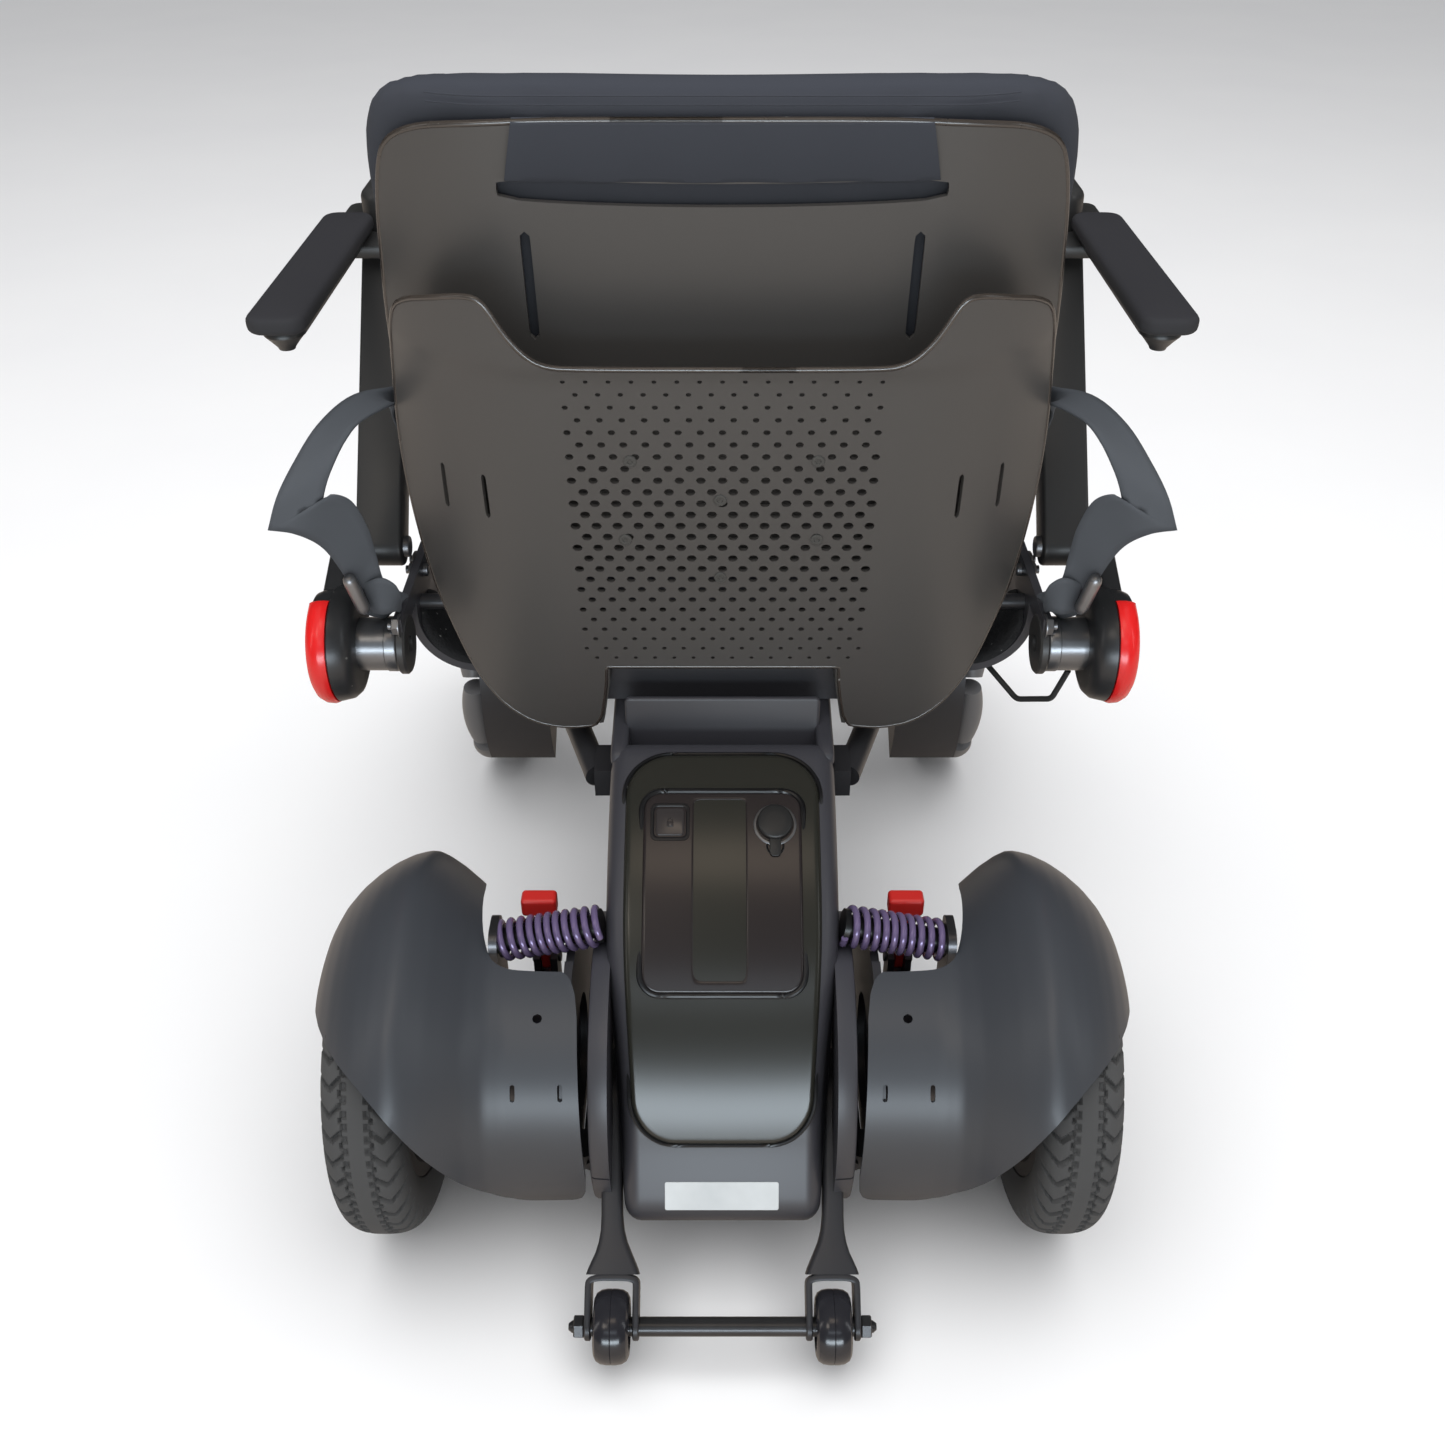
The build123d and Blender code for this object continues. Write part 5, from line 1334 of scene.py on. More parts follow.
class WHEELCHAIR_OT_battery(bpy.types.Operator):
    """Makes the battery's face with its grip, and the release button and charge port on it"""

    bl_idname = "wheelchair.battery"
    bl_label = "Battery"

    def execute(self, context):
        """The face is a height over the arc: flat, a sloped step down to the grip's floor, and
        a steep wall up to the right flat. The rim turns down into a rubber groove."""
        nx, nr = 150, 120
        half, half_run = BATTERY_HALF, BATTERY_LENGTH / 2
        U, V = np.meshgrid(np.linspace(-1, 1, nx), np.linspace(-1, 1, nr), indexing="ij")
        corner = 14.0
        x, q = U * half, V * half_run
        over_x = np.maximum(np.abs(x) - (half - corner), 0)
        over_q = np.maximum(np.abs(q) - (half_run - corner), 0)
        m, d = np.maximum(over_x, over_q), np.hypot(over_x, over_q)
        pull = np.where(d > 0, m / np.maximum(d, 1e-9), 1.0)
        xs = np.sign(x) * (np.abs(x) - over_x + over_x * pull)
        qs = np.sign(q) * (np.abs(q) - over_q + over_q * pull)
        rim = np.minimum(half - np.abs(x), half_run - np.abs(q))

        def step(value, low, high):
            t = np.clip((value - low) / (high - low), 0, 1)
            return t * t * (3 - 2 * t)

        left = step(-xs, -22.0, -14.0)
        right = step(xs, -17.5, -12.5)
        ends = step(qs, -67, -63) * (1 - step(qs, 50, 66))
        groove = left * right * ends
        depth = 12.0 * groove
        lift = 3.9 - 2.4 * (1 - np.clip(rim / 2.6, 0, 1)) ** 2 - depth - 1.5 * step(xs, -16, -30) * 0
        top = on_cover(xs, BATTERY_RUN + half_run + qs, lift).reshape(-1, 3)
        low = on_cover(xs * 0.99, BATTERY_RUN + half_run + qs, -26.0).reshape(-1, 3)
        f = grid_faces(nx, nr)
        edge = np.concatenate([
            np.arange(nr), np.arange(1, nx) * nr + nr - 1, (nx - 1) * nr + np.arange(
                nr - 2, -1, -1
            ), np.arange(nx - 2, 0, -1) * nr,
        ])
        wall = np.stack([edge, np.roll(edge, -1), np.roll(edge, -1) + nx * nr, edge + nx * nr], 1)
        faces = np.concatenate([f, f[:, ::-1] + nx * nr, wall[:, ::-1]])
        emit(
            "battery_face", np.concatenate([top, low]), faces, "battery_gloss", "battery", ["battery_case"],
            sharp=60
        )
        loop = rounded_box_outline(half + 0.6, half_run + 0.6, corner + 1, 10)
        path = on_cover(loop[:, 0], BATTERY_RUN + half_run + loop[:, 1], 2.5)
        path = np.concatenate([path, path[:2]])
        v, fl = tube(resample(path, 200), 2.3, 10, up=(1, 0.02, 0.01))
        emit("battery_seal", v, fl, "core_black", "battery")
        self.bars()
        self.button()
        self.port()
        return {"FINISHED"}

    def bars(self):
        """Cross bars at the head of the grip."""
        parts = []
        for k in range(4):
            run = BATTERY_RUN + 9 + 5.5 * k
            path = on_cover(np.linspace(-12, 15, 8), np.full(8, run), np.full(8, -3.5 - 1.4 * k))
            parts.append(tube(path, 1.5, 8))
        v, f = joined(*parts)
        emit("grip_bars", v, f, "core_black", "battery")

    def button(self):
        """A square button with a rounded rim and a raised padlock, in a square bezel."""

        def place(p):
            return on_cover(38 + p[:, 0], BATTERY_RUN + 24 + p[:, 1], 3.2 + p[:, 2])

        bezel = [
            np.column_stack([rounded_box_outline(h, h, c, 5), np.full(20, w)])
            for h, c, w in (
                (14.2, 4.5, 0.2), (14.0, 4.5, 1.6), (12.6, 4, 1.9), (11.6, 3.5, 1.4), (11.4, 3.4, 0.2)
            )
        ]
        v, f = skin(np.array(bezel), capped=False)
        emit("button_bezel", place(v), f, "core_black", "battery", sharp=60)
        cap = slab(rounded_box_outline(10.6, 10.6, 3.0, 6), -2.0, 1.6, 1.2, place, steps=3)
        body = slab(
            rounded_box_outline(2.4, 2.0, 0.5, 3), 1.4, 2.1, 0.2, lambda p: place(p + [0, 2.0, 0]), steps=1
        )
        t = np.linspace(0, np.pi, 14)
        bow = place(np.stack([1.7 * np.cos(t), -0.2 - 2.6 * np.sin(t), np.full(14, 1.8)], 1))
        v, f = joined(cap, body, tube(bow, 0.35, 6, up=(1, 0.1, 0)))
        emit(
            "release_button_cap", v, f, "button_gloss", "release_button", ["battery_release_button"],
            sharp=50
        )

    def port(self):
        """The charge port's metal ring and keyhole, and its round rubber lid with a tail."""

        def place(p):
            return on_cover(-38 + p[:, 0], BATTERY_RUN + 26 + p[:, 1], 3.4 + p[:, 2])

        a = np.linspace(0, 2 * np.pi, 48, endpoint=False)

        def disc(profile, shift=0.0):
            rings = [np.stack([r * np.cos(a), shift + r * np.sin(a), np.full(48, w)], 1) for r, w in profile]
            v, f = skin(rings)
            return place(v), f

        ring = disc(((15.6, -1), (15.6, 0.9), (15.0, 1.4), (13.8, 1.3), (13.2, 0.4), (13.2, -1)))
        emit("port_ring", *ring, "bolt_steel", "battery", sharp=50)
        hole = disc(((6.6, -1.0), (6.6, 0.7), (6.0, 1.1), (5.2, 0.8), (4.8, -0.4)), 16.5)
        emit("port_keyhole", *hole, "core_black", "battery", sharp=50)
        lid = disc(
            ((12.4, -1.0), (12.9, 0.4), (12.9, 3.2), (12.4, 4.3), (11.2, 4.9), (6.0, 5.2), (0.2, 5.3)), -1.5
        )
        tail = slab(
            rounded_box_outline(4.2, 8, 3.0, 5), 1.0, 2.6, 0.6, lambda p: place(p + [0, 16, 0]), steps=2
        )
        v, f = joined(lid, tail)
        emit("port_lid", v, f, "cap_rubber", "port_cap", ["charge_port_cap"], sharp=50)


# ---- Stage -------------------------------------------------------------------------------
class WHEELCHAIR_OT_stage(bpy.types.Operator):
    """Sets the floor, the lights and the camera"""

    bl_idname = "wheelchair.stage"
    bl_label = "Stage"

    def execute(self, context):
        scene = context.scene
        mesh = bpy.data.meshes.new("floor")
        mesh.from_pydata([(-9, -9, 0), (9, -9, 0), (9, 9, 0), (-9, 9, 0)], [], [(0, 1, 2, 3)])
        floor = bpy.data.objects.new("floor", mesh)
        scene.collection.objects.link(floor)
        mat, t, bsdf, at = start_material("floor_pale")
        noise = add(t, "ShaderNodeTexNoise", [(at, "Vector")], in_Scale=3.0, in_Detail=4.0)
        pale = mix_colour(t, noise.outputs["Fac"], (0.83, 0.83, 0.84), (0.87, 0.87, 0.87))
        # Rays from polished surfaces see the floor warm brown while the camera sees it pale: a painted
        # reflection of brown ground that the stage lacks.
        seen = add(t, "ShaderNodeLightPath")
        t.links.new(
            mix_colour(t, seen.outputs["Is Glossy Ray"], pale, (0.62, 0.53, 0.45)),
            bsdf.inputs["Base Color"]
        )
        bsdf.inputs["Roughness"].default_value = 0.85
        mesh.materials.append(mat)
        floor.visible_glossy = True
        world = bpy.data.worlds.new("studio")
        world.use_nodes = True
        back = world.node_tree.nodes["Background"]
        back.inputs[0].default_value = (0.98, 0.985, 1.0, 1.0)
        # Polished pieces mirror only the lamps: the world lights them without showing in them.
        path = world.node_tree.nodes.new("ShaderNodeLightPath")
        dim = world.node_tree.nodes.new("ShaderNodeMapRange")
        dim.inputs[3].default_value = 0.55
        dim.inputs[4].default_value = 0.015
        world.node_tree.links.new(path.outputs["Is Glossy Ray"], dim.inputs[0])
        world.node_tree.links.new(dim.outputs[0], back.inputs[1])
        scene.world = world
        world.cycles.sampling_method = "NONE"
        for name, place, aim, size, power, tint, shine in (
            ("top", (0.0, 0.6, 3.4), (0, 0.1, 0.3), (4.5, 4.5), 150.0, (1.0, 1.0, 1.0), False),
            ("low_sky", (0.0, 4.4, 0.66), (0, 0.3, 0.3), (3.6, 0.8), 130.0, (0.8, 0.91, 1.0), True),
            ("high_sky", (0.0, 4.0, 3.0), (0, 0.3, 0.3), (2.6, 0.5), 9.0, (0.8, 0.9, 1.0), True),
            ("upper_left", (1.1, 2.2, 3.0), (0, 0.1, 0.6), (0.7, 0.7), 7.0, (1.0, 0.9, 0.78), True),
            ("left_wall", (3.2, 1.6, 2.0), (0, 0.2, 0.3), (0.4, 2.2), 8.0, (1.0, 0.96, 0.92), True),
            ("right_wall", (-3.2, 1.6, 2.0), (0, 0.2, 0.3), (0.4, 2.2), 8.0, (0.95, 0.98, 1.0), True),
            ("ceiling", (0.0, 1.4, 3.6), (0, 0.3, 0.3), (1.1, 0.7), 5.0, (1.0, 0.82, 0.64), True),
        ):
            light = bpy.data.lights.new(name, "AREA")
            light.energy = power
            light.shape = "RECTANGLE"
            light.size, light.size_y = size
            light.color = tint
            lamp = bpy.data.objects.new(name, light)
            lamp.location = place
            lamp.rotation_euler = (Vector(aim) - Vector(place)).to_track_quat("-Z", "Y").to_euler()
            # A lamp either lights the chair or shows in its polish, so highlights stay crisp.
            lamp.visible_glossy = shine
            lamp.visible_diffuse = not shine
            scene.collection.objects.link(lamp)
        cam = bpy.data.cameras.new("camera")
        cam.lens = 36.0 * 1430.0 / 1445.0
        cam.sensor_width = 36.0
        eye = bpy.data.objects.new("camera", cam)
        eye.location = (0.0, 1.0415, 0.973)
        eye.rotation_euler = (np.radians(54.5), 0.0, np.pi)
        scene.collection.objects.link(eye)
        scene.camera = eye
        scene.view_settings.view_transform = "Standard"
        return {"FINISHED"}


# ---- Wheels ------------------------------------------------------------------------------
class WHEELCHAIR_OT_tyres(bpy.types.Operator):
    """Makes the rear tyres with their tread, and the tip wheels"""

    bl_idname = "wheelchair.tyres"
    bl_label = "Tyres"

    def execute(self, context):
        """The section is a superellipse. The radius drops by the tread depth along two zig-zag
        lines at 9 mm from the middle, and in the gaps between the shoulder blocks, whose phase
        is blocks * a / (2 pi) + 0.55 * | |d| - 18 | / 10 for a place d across and a round."""
        count, blocks = 640, 44
        t = np.linspace(0, np.pi, 57)
        d = 27.6 * np.sign(np.cos(t)) * np.abs(np.cos(t)) ** 0.75
        r = 106 + 26.5 * np.sin(t) ** 0.62
        inner = np.array([(-26.5, 99), (-24, 93), (-12, 92), (12, 92), (24, 93), (26.5, 99)])
        d = np.concatenate([d, inner[:, 0]])
        r = np.concatenate([r, inner[:, 1]])
        a = np.linspace(0, 2 * np.pi, count, endpoint=False)
        A, D = np.meshgrid(a, np.abs(d), indexing="ij")
        R = np.broadcast_to(r, A.shape)
        phase = blocks * A / (2 * np.pi)
        zig = 9.3 + 1.3 * np.sign(np.sin(2 * np.pi * phase * 2))
        line = np.clip(1.6 - np.abs(D - zig), 0, 1)
        gap = (phase + 0.55 * np.abs(D - 18) / 10) % 1.0
        block = np.clip((0.12 - np.abs(gap - 0.5)) / 0.05, 0, 1) * (D > 10)
        sipe = np.clip((0.06 - np.abs((phase * 2) % 1.0 - 0.5)) / 0.03, 0, 1) * (D > 6) * (D < 9) * 0.6
        cut = np.clip(np.maximum(np.maximum(line, block), sipe), 0, 1) * np.clip((R - 113) / 5, 0, 1)
        R = R - cut * sizes().tread_depth / MM
        dust = np.clip(
            (9.0 - D) / 1.5, 0, 1
        ) * (R > 130.5) + 0.55 * (D >= 9) * (cut < 0.3) * np.clip((R - 118) / 8, 0, 1)
        for name, s in SIDES:
            x = s * REAR_X + np.broadcast_to(d, A.shape)
            v = np.stack([x, REAR_AXLE[0] + R * np.sin(A), REAR_AXLE[1] + R * np.cos(A)], -1).reshape(-1, 3)
            tyre = emit(
                name + "_tyre", v, grid_faces(count, len(d), True, True), "rear_tyre", name + "_wheel",
                [name + "_rear_tyre"], sharp=32
            )
            layer = tyre.data.attributes.new("dust", "FLOAT", "POINT")
            layer.data.foreach_set("value", dust.ravel().astype(np.float32))
        self.tips()
        return {"FINISHED"}

    def tips(self):
        """A rounded hard wheel: a turned profile with a fine joint round its middle."""
        side = [
            (12.4, 6.7), (9.5, 7.0), (9.0, 15.5), (12.4, 16.5), (12.3, 19.5), (10.8, 22.4), (7.6, 24.3),
            (3.5, 24.95), (0.4, 25.0)
        ]
        profile = side + [(0.0, 24.6)] + [(-x, r) for x, r in side[::-1]]
        for name, s in SIDES:
            v, f = turned([(s * 78 + x, r) for x, r in profile], 467.5, 40.0, 72)
            emit(
                name + "_tip", v, f, "tip_wheel_plastic", name + "_tip_wheel", [name + "_anti_tip_wheel"],
                sharp=28
            )


class WHEELCHAIR_OT_tip_arms(bpy.types.Operator):
    """Makes the arms and yokes that hold the tip wheels"""

    bl_idname = "wheelchair.tip_arms"
    bl_label = "Tip arms"

    def execute(self, context):
        """Rings of rounded rectangles along the arm, which flares into an arch over the wheel.
        The arch is one strap bent over: (x, t) = (18 cos, 30 + 8 sin) down to both cheeks."""
        axle = np.array([0, 467.5, 40.0])
        along = np.array([0, -137.5, 96.0])
        along /= np.linalg.norm(along)
        up = np.array([0, 96.0, 137.5])
        up /= np.linalg.norm(up)
        t = np.array([172, 168, 150, 120, 90, 74, 64, 56, 49, 43, 38, 34.5])
        half = np.array([5.0, 7.2, 7.6, 7.6, 7.4, 7.5, 8.2, 10.0, 12.6, 15.4, 17.6, 18.8])
        deep = np.array([9.0, 12.0, 12.0, 11.5, 10.5, 10.0, 10.0, 10.2, 10.6, 11.0, 11.0, 11.0])
        middle = np.array([81, 81, 81, 80.5, 80, 79.5, 79, 78.5, 78, 78, 78, 78])
        parts = []
        for s in (1, -1):
            rings = []
            for k in range(len(t)):
                q = rounded_box_outline(half[k], deep[k], 3.6, 5)
                centre = axle + along * t[k] + [s * middle[k], 0, 0]
                rings.append(centre + q[:, :1] * [s, 0, 0] + q[:, 1:] * up)
            parts.append(skin(np.array(rings)))
            a = np.linspace(0, np.pi, 19)
            cx = np.concatenate(
                [[16.9] * 5, 16.9 * np.sign(np.cos(a[1:-1])) * np.abs(np.cos(a[1:-1])) ** 0.55, [-16.9] * 5]
            )
            ct = np.concatenate(
                [np.linspace(0, 26, 5), 27 + 5.5 * np.sin(a[1:-1]) ** 0.6, np.linspace(26, 0, 5)]
            )
            path = np.stack([cx, ct], 1)
            tan = tangents(path)
            out = np.stack([tan[:, 1], -tan[:, 0]], 1)
            strap = np.array(
                [
                    (-2.2, -1), (-2.2, 1), (-1.4, 1.06), (1.4, 1.06), (2.2, 1), (2.2, -1), (1.4, -1.06),
                    (-1.4, -1.06)
                ]
            )
            wide = np.interp(
                np.abs(np.arange(len(path)) - (len(path) - 1) / 2), [0, len(path) / 2 - 3, len(path) / 2],
                [11, 10.5, 9]
            )
            rings = []
            for k in range(len(path)):
                xt = path[k] + strap[:, :1] * out[k]
                rings.append(
                    axle + [
                        s * 78, 0, 0
                    ] + xt[:, :1] * [s, 0, 0] + xt[:, 1:] * along + strap[:, 1:] * wide[k] * up
                )
            parts.append(skin(np.array(rings)))
            for cheek in (-16.9, 16.9):
                b = np.linspace(0, 2 * np.pi, 32, endpoint=False)
                disc = [
                    axle + [
                        s * 78 + cheek + w, 0, 0
                    ] + r * np.cos(b)[:, None] * along + r * np.sin(b)[:, None] * up
                    for r, w in ((8.6, -2.2), (9.4, -1.4), (9.4, 1.4), (8.6, 2.2))
                ]
                parts.append(skin(np.array(disc)))
        v, f = joined(*parts)
        emit("tip_arms", v, f, "arm_metal", "chair", ["anti_tip_arms"], sharp=40)
        rod = [tube([(-97, 467.5, 40), (-20, 467.5, 40), (97, 467.5, 40)], 6.6, 28)]
        a = np.arange(6) * np.pi / 3
        for s in (-1, 1):
            rings = [
                np.stack([np.full(6, s * x), 467.5 + r * np.cos(a), 40 + r * np.sin(a)], 1) for x,
                r in ((97.6, 7.6), (98.2, 8.4), (104, 8.4), (104.8, 7.4))
            ]
            rod.append(skin(np.array(rings)))
            rod.append(
                tube(
                    [(s * 104, 467.5, 40), (s * 106, 467.5, 40), (s * 108.5, 467.5, 40)],
                    [[4.4], [4.2], [2.4]], 16
                )
            )
        v, f = joined(*rod)
        emit("tip_rod", v, f, "rod_satin", "chair", ["anti_tip_rod"], sharp=30)
        return {"FINISHED"}


# ---- Suspension --------------------------------------------------------------------------
class WHEELCHAIR_OT_springs(bpy.types.Operator):
    """Makes the suspension springs with their cores"""

    bl_idname = "wheelchair.springs"
    bl_label = "Springs"

    def execute(self, context):
        """A helix: centre(t) + R (cos a e1 + sin a e2)."""
        turns = 10.5
        u = np.linspace(0, 1, int(turns * 26))
        wire = sizes().spring_wire / MM
        for name, s in SIDES:
            a0 = np.array([s * 87.0, 290, 258])
            a1 = np.array([s * 160.0, 290, 243.2])
            axis = (a1 - a0) / np.linalg.norm(a1 - a0)
            e1 = np.array([0, 1.0, 0])
            e2 = np.cross(axis, e1)
            share = u + 0.018 * np.sin(2 * np.pi * u)
            angle = 2 * np.pi * turns * u
            radius = 13.2
            centre = a0 + (a1 - a0) * share[:, None]
            path = centre + radius * (np.cos(angle)[:, None] * e1 + np.sin(angle)[:, None] * e2)
            v, f = tube(path, wire, 10, up=axis)
            spring = emit(name + "_coil", v, f, "spring_violet", "chair", [name + "_spring"], sharp=80)
            q = np.array([0, 0.05, 0.06, 0.5, 0.94, 0.95, 1.0])
            core_path = a0 - axis + (a1 - a0 + 2 * axis) * q[:, None]
            v, f = tube(core_path, np.array([12.4, 12.4, 8.6, 8.6, 8.6, 12.4, 12.4]), 24, up=(0, 1, 0))
            core = emit(name + "_damper", v, f, "core_black", "chair", sharp=40)
            for piece in (spring, core):
                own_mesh(piece)
        return {"FINISHED"}


# ---- Seat belt ---------------------------------------------------------------------------
BELT_UPPER = [
    (225.7, 101.8, 588.4), (248.2, 134.8, 594.8), (266.6, 160.2, 585.3), (281.7, 179.8, 565.8),
    (291.9, 196, 548.6), (299.7, 200, 528.7)
]
BELT_LOWER = [
    (219.6, 134.2, 588.9), (235.8, 165.2, 591), (243.8, 183.8, 585.3), (251.8, 192.2, 571.7),
    (257.5, 196, 559.3), (260.8, 200, 549.1)
]
LAP = [(60, -64, 450), (150, -58, 450), (196, -34, 468), (222, 10, 490), (227, 56, 532), (228, 96, 574)]
LAP_DIRS = [(0, 1, 0), (-0.1, 1, 0), (-0.3, 0.9, -0.2), (-0.1, 0.85, -0.5), (0, 0.8, -0.6), (0, 0.9, -0.3)]
TAIL_UPPER = [
    (299.7, 200, 528.7), (281.5, 201, 526.3), (268.1, 194, 512.8), (259.8, 187, 489.7), (257.1, 181, 470.5),
    (253.9, 171.5, 448.6)
]
TAIL_LOWER = [
    (260.8, 200, 549.1), (253.2, 201, 554.7), (243, 194, 546.1), (237.2, 187, 523.3), (236.3, 181, 500.3),
    (233.9, 176.5, 474.2)
]
LOOP_UPPER = [(246.4, 178, 452.5), (236.5, 184, 454.5), (229.5, 177.5, 453), (231.1, 162.2, 441.3)]
LOOP_LOWER = [(249.5, 180, 476.3), (235.3, 184, 483.3), (225.6, 182.5, 476.1), (224.9, 173.8, 461.4)]


class WHEELCHAIR_OT_belts(bpy.types.Operator):
    """Makes the seat belt's webbing and its adjusters"""

    bl_idname = "wheelchair.belts"
    bl_label = "Seat belt"

    def execute(self, context):
        lap = np.array(LAP, float)
        dirs = np.array(LAP_DIRS, float)
        dirs /= np.linalg.norm(dirs, axis=1, keepdims=True)
        half = sizes().webbing_width / MM / 2
        upper = np.concatenate([lap - half * dirs, BELT_UPPER])
        lower = np.concatenate([lap + half * dirs, BELT_LOWER])
        anchor = ([(243, 160, 436)], [(225, 154, 452)])
        tail = np.concatenate([TAIL_UPPER, anchor[0]]), np.concatenate([TAIL_LOWER, anchor[1]])
        for name, s in SIDES:
            strips = [
                self.strip(upper, lower, s, 90), self.strip(*tail, s, 60),
                self.strip(np.array(LOOP_UPPER), np.array(LOOP_LOWER), s, 24)
            ]
            v, f, uv = [], [], []
            base = 0
            for pv, pf, pu in strips:
                v.append(pv)
                uv.append(pu)
                f += (pf + base).tolist()
                base += len(pv)
            uv = np.concatenate(uv)
            belt = emit(
                name + "_webbing", np.concatenate(v), f, "belt_webbing", "chair", [name + "_belt"],
                sharp=80, outward=False
            )
            layer = belt.data.uv_layers.new(name="UVMap")
            loops = np.empty(len(belt.data.loops), int)
            belt.data.loops.foreach_get("vertex_index", loops)
            layer.data.foreach_set("uv", uv[loops].ravel())
            solid = belt.modifiers.new("thickness", "SOLIDIFY")
            solid.thickness = 1.7 * MM
            solid.offset = 0.0
            v, f = tube(
                smooth_path([(s * 255.3, 191, 489), (s * 252, 188.5, 473), (s * 248.8, 185, 456.5)], 8),
                np.concatenate([[2.4, 4.2], np.full(13, 4.8), [4.2, 2.4]]), 14, up=(0, 1, 0)
            )
            emit(name + "_adjuster", v, f, "bolt_steel", "chair", sharp=60)
        return {"FINISHED"}

    def strip(self, upper, lower, side, count):
        """A smooth band between two edges, with (length, width) in millimetres as its UV."""
        a = resample(smooth_path(upper, 12), count)
        b = resample(smooth_path(lower, 12), count)
        w = np.linspace(0, 1, 7)
        v = a[:, None] * (1 - w)[None, :, None] + b[:, None] * w[None, :, None]
        along = np.concatenate([[0], np.cumsum(np.linalg.norm(np.diff((a + b) / 2, axis=0), axis=1))])
        uv = np.stack(np.broadcast_arrays(along[:, None], w[None, :] * 34), -1).reshape(-1, 2)
        v = v.reshape(-1, 3) * [side, 1, 1]
        return v, grid_faces(count, 7), uv


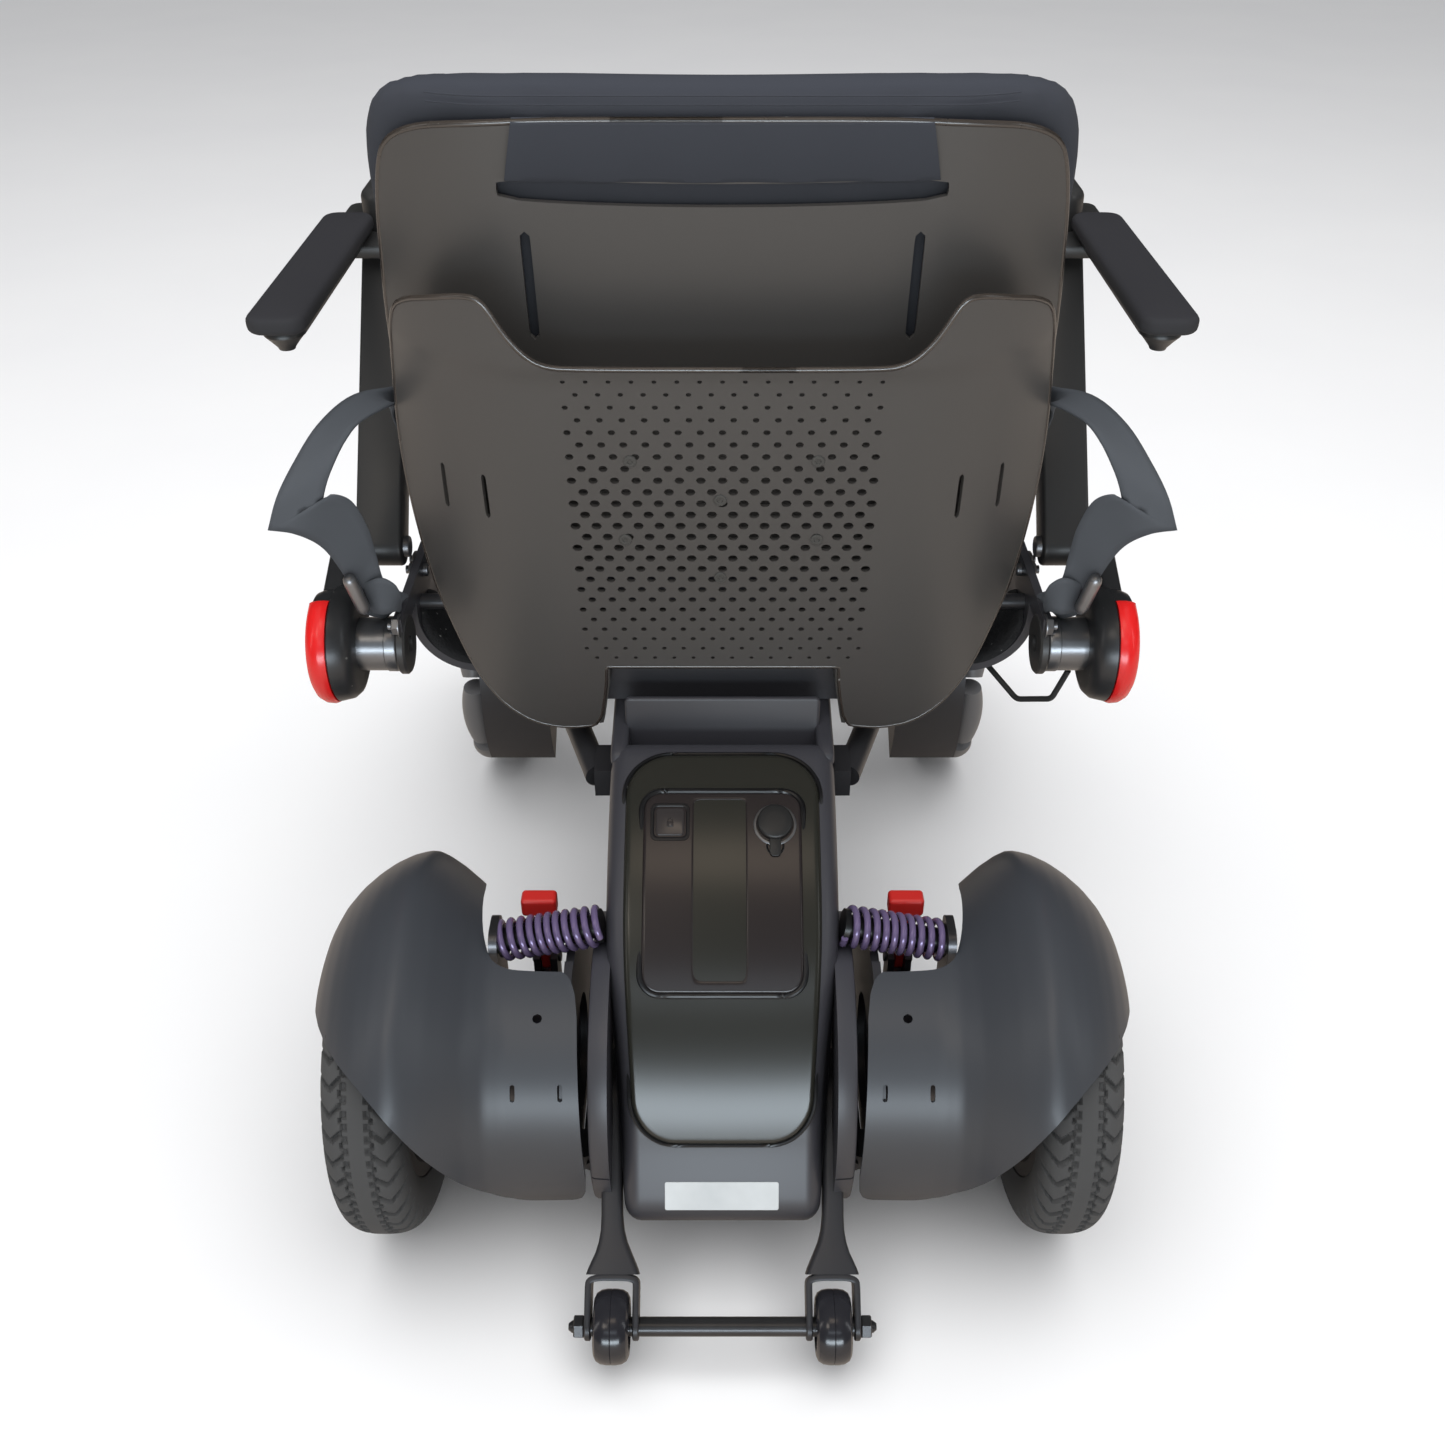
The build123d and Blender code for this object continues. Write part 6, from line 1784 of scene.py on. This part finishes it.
# ---- Arms --------------------------------------------------------------------------------
class WHEELCHAIR_OT_arms(bpy.types.Operator):
    """Makes the arm pads, posts, brackets and reflectors"""

    bl_idname = "wheelchair.arms"
    bl_label = "Arms"

    def execute(self, context):
        for name, s in SIDES:
            body = name + "_arm"

            def flat(v, s=s):
                return np.stack([s * v[:, 0], v[:, 1], v[:, 2]], 1)

            outline = rounded_box_outline(19, 116.5, 12, 7) + [280, 59.5]
            pad = slab(outline, 650.5, 662.0, 4.2, flat, steps=4, crown=0.5)
            emit(name + "_pad", *pad, "pad_foam", body, [name + "_arm_pad"], sharp=60)
            rail = slab(rounded_box_outline(14, 140, 8, 5) + [280, 20], 643.5, 651.0, 2.5, flat, steps=2)
            perch = slab(rounded_box_outline(16, 29, 5, 4) + [260, -92], 639, 646.5, 2, flat, steps=2)
            a = np.linspace(0, np.pi, 16)
            low = np.stack(
                [
                    92 + 14.4 * np.sin(-a + np.pi) * 0 + 14.4 * np.cos(a + 0.69 + np.pi),
                    458 + 14.4 * np.sin(a + 0.69 + np.pi)
                ],
                1
            )
            top = np.stack([-52 + 11 * np.cos(a + 0.69), 632 + 11 * np.sin(a + 0.69)], 1)
            post = slab(
                np.concatenate([low, top]), 238, 272, 2.6, lambda v,
                s=s: np.stack([s * v[:, 2], v[:, 0], v[:, 1]], 1), steps=3
            )
            shelf = slab(rounded_box_outline(26, 24, 6, 4) + [266, -48], 636, 646, 2, flat, steps=2)
            b = np.linspace(0, 2 * np.pi, 28, endpoint=False)
            cone = skin(np.array([
                np.stack([s * 280 + r * np.cos(b), 152 + r * np.sin(b), np.full(28, z)], 1)
                for r, z in (
                    (11.5, 649), (13.2, 646.5), (13.2, 644.5), (9.5, 640.5), (5.8, 636), (5.2, 634.5),
                    (3.6, 634)
                )
            ]))
            emit(
                name + "_post", *joined(rail, perch, post, shelf, cone), "arm_plastic", body,
                [name + "_arm_frame"], sharp=40
            )
            self.bracket(name, s)
        return {"FINISHED"}

    def bracket(self, name, s):
        """A satin tube, a round shell turned about it, a neck up to the arm, and the lens."""
        y, z = TUBE_AXIS
        shell = turned(
            [
                (s * x, r) for x,
                r in (
                    (261, 14), (261, 30), (263, 36), (267, 39.5), (276, 41.6), (277, 39.5), (284, 39.5),
                    (290, 37), (291.5, 30), (291.5, 14)
                )
            ],
            y, z, 72,
        )
        neck_outline = []
        a = np.linspace(0, np.pi, 14)
        up = np.arctan2(ARM_PIN[1] - z, ARM_PIN[0] - y)
        neck_outline.append(
            np.stack([y + 27 * np.cos(up + np.pi / 2 + a), z + 27 * np.sin(up + np.pi / 2 + a)], 1)
        )
        neck_outline.append(
            np.stack(
                [ARM_PIN[0] + 16 * np.cos(up - np.pi / 2 + a), ARM_PIN[1] + 16 * np.sin(up - np.pi / 2 + a)],
                1
            )
        )
        neck = slab(
            np.concatenate(neck_outline), 273.5, 288, 3,
            lambda v: np.stack([s * v[:, 2], v[:, 0], v[:, 1]], 1), steps=3
        )
        emit(
            name + "_bracket", *joined(shell, neck), "bracket_satin", "chair", [name + "_arm_bracket"],
            sharp=35
        )
        tube_part = turned(
            [
                (s * x, r) for x,
                r in ((233, 12), (233, 19.4), (234, 20), (241, 20), (241.6, 19.4), (262, 19.4), (262, 12))
            ], y, z, 56
        )
        foot = turned(
            [(s * x, r) for x, r in ((226, 6), (226, 20.5), (227.5, 22), (231.5, 22), (233, 20.5), (233, 6))],
            y, z, 56
        )
        emit(name + "_pivot_tube", *tube_part, "tube_grey", "chair", sharp=35)
        emit(name + "_pivot_plate", *foot, "arm_plastic", "chair", sharp=35)
        pins = [
            turned(
                [
                    (s * x, r) for x,
                    r in ((234, 0.2), (234, 7.4), (235, 8), (290, 8), (291, 6.5), (291.5, 0.2))
                ],
                *ARM_PIN, 32
            )
        ]
        emit(name + "_arm_pin", *joined(*pins), "bolt_steel", "chair", sharp=35)
        t = np.radians(np.linspace(8, 170, 60))
        fade = np.clip(np.minimum(np.arange(60), 59 - np.arange(60)) / 5.0, 0, 1) ** 0.5
        lens_profile = np.array(
            [
                (277.2, 38.2), (277.2, 42.0), (280, 43.2), (285, 42.8), (289.5, 40.2), (291.8, 36.5),
                (290, 35), (284, 38)
            ]
        )
        rings = []
        for k, q in enumerate(t):
            r = 38 + (lens_profile[:, 1] - 38) * (0.35 + 0.65 * fade[k])
            rings.append(np.stack([s * lens_profile[:, 0], y + r * np.sin(q), z + r * np.cos(q)], 1))
        v, f = skin(np.array(rings))
        emit(name + "_lens", v, f, "reflector_red", "chair", [name + "_reflector"], sharp=40)
        nuts = []
        h = np.arange(6) * np.pi / 3 + 0.2
        for yy, zz in ((72, 436), (88, 436), (176, 440)):
            x0 = 232.5 if yy < 100 else 229
            rings = [
                np.stack([np.full(6, s * (x0 + w)), yy + r * np.cos(h), zz + r * np.sin(h)], 1) for w,
                r in ((0, 6), (0.6, 6.6), (4.6, 6.6), (5.2, 5.8))
            ]
            nuts.append(skin(np.array(rings)))
            nuts.append(
                tube([(s * (x0 + 4), yy, zz), (s * (x0 + 6), yy, zz), (s * (x0 + 8), yy, zz)], 3.2, 14)
            )
            nuts.append(
                turned(
                    [(s * (x0 - 0.8), 1), (s * (x0 - 0.8), 8.6), (s * (x0 + 0.2), 8.6), (s * (x0 + 0.2), 1)],
                    yy, zz, 28
                )
            )
        emit(name + "_nuts", *joined(*nuts), "bolt_steel", "chair", sharp=30)
        self.fuzz(name, s)

    def fuzz(self, name, s):
        """A furry pad in the cradle's curve: a rounded patch along the arc whose height is noisy."""
        rng = np.random.default_rng(7 if s > 0 else 8)
        nu, nv = 60, 30
        U, V = np.meshgrid(np.linspace(-1, 1, nu), np.linspace(-1, 1, nv), indexing="ij")
        run = 52 * U * np.sqrt(1 - 0.35 * V**2)
        yy = 99 + 30 * V * np.sqrt(1 - 0.35 * U**2)
        edge = np.clip(1 - np.maximum(np.abs(U), np.abs(V)) ** 6, 0, 1) ** 0.5
        lift = 0.5 + 5.0 * edge + rng.uniform(-0.5, 0.5, U.shape) * edge
        along = run + 16
        a = np.clip(along / 42, 0, np.pi / 2)
        x = 185 + np.minimum(along, 0) + (42 - lift) * np.sin(a)
        z = 418 - (42 - lift) * np.cos(a)
        v = np.stack([s * x, yy, z], -1).reshape(-1, 3)
        pad = emit(name + "_fuzz", v, grid_faces(nu, nv), "fuzz_pad", "chair", sharp=80)
        return pad




# ---- Panel and registration --------------------------------------------------------------
OPERATORS = (
    WHEELCHAIR_OT_finishes,
    WHEELCHAIR_OT_stage,
    WHEELCHAIR_OT_lower_shell,
    WHEELCHAIR_OT_upper_shell,
    WHEELCHAIR_OT_cushions,
    WHEELCHAIR_OT_fenders,
    WHEELCHAIR_OT_housing,
    WHEELCHAIR_OT_battery,
    WHEELCHAIR_OT_tyres,
    WHEELCHAIR_OT_tip_arms,
    WHEELCHAIR_OT_springs,
    WHEELCHAIR_OT_belts,
    WHEELCHAIR_OT_arms,
)


class WHEELCHAIR_PT_panel(bpy.types.Panel):
    """Lists the chair's operators and settings"""

    bl_label = "Wheelchair"
    bl_space_type = "VIEW_3D"
    bl_region_type = "UI"
    bl_category = "Wheelchair"

    def draw(self, context):
        layout = self.layout
        for settings in (context.scene.chair_colours, context.scene.chair_sizes):
            for key in type(settings).__annotations__:
                layout.prop(settings, key)
        for op in OPERATORS:
            layout.operator(op.bl_idname)


CLASSES = (ChairColours, ChairSizes, *OPERATORS, WHEELCHAIR_PT_panel)


def register():
    for cls in CLASSES:
        bpy.utils.register_class(cls)
    bpy.types.Scene.chair_colours = bpy.props.PointerProperty(type=ChairColours)
    bpy.types.Scene.chair_sizes = bpy.props.PointerProperty(type=ChairSizes)


def unregister():
    del bpy.types.Scene.chair_sizes
    del bpy.types.Scene.chair_colours
    for cls in reversed(CLASSES):
        bpy.utils.unregister_class(cls)


def main():
    """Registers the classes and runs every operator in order."""
    register()
    for op in OPERATORS:
        group, name = op.bl_idname.split(".")
        getattr(getattr(bpy.ops, group), name)()


if __name__ == "__main__":
    main()
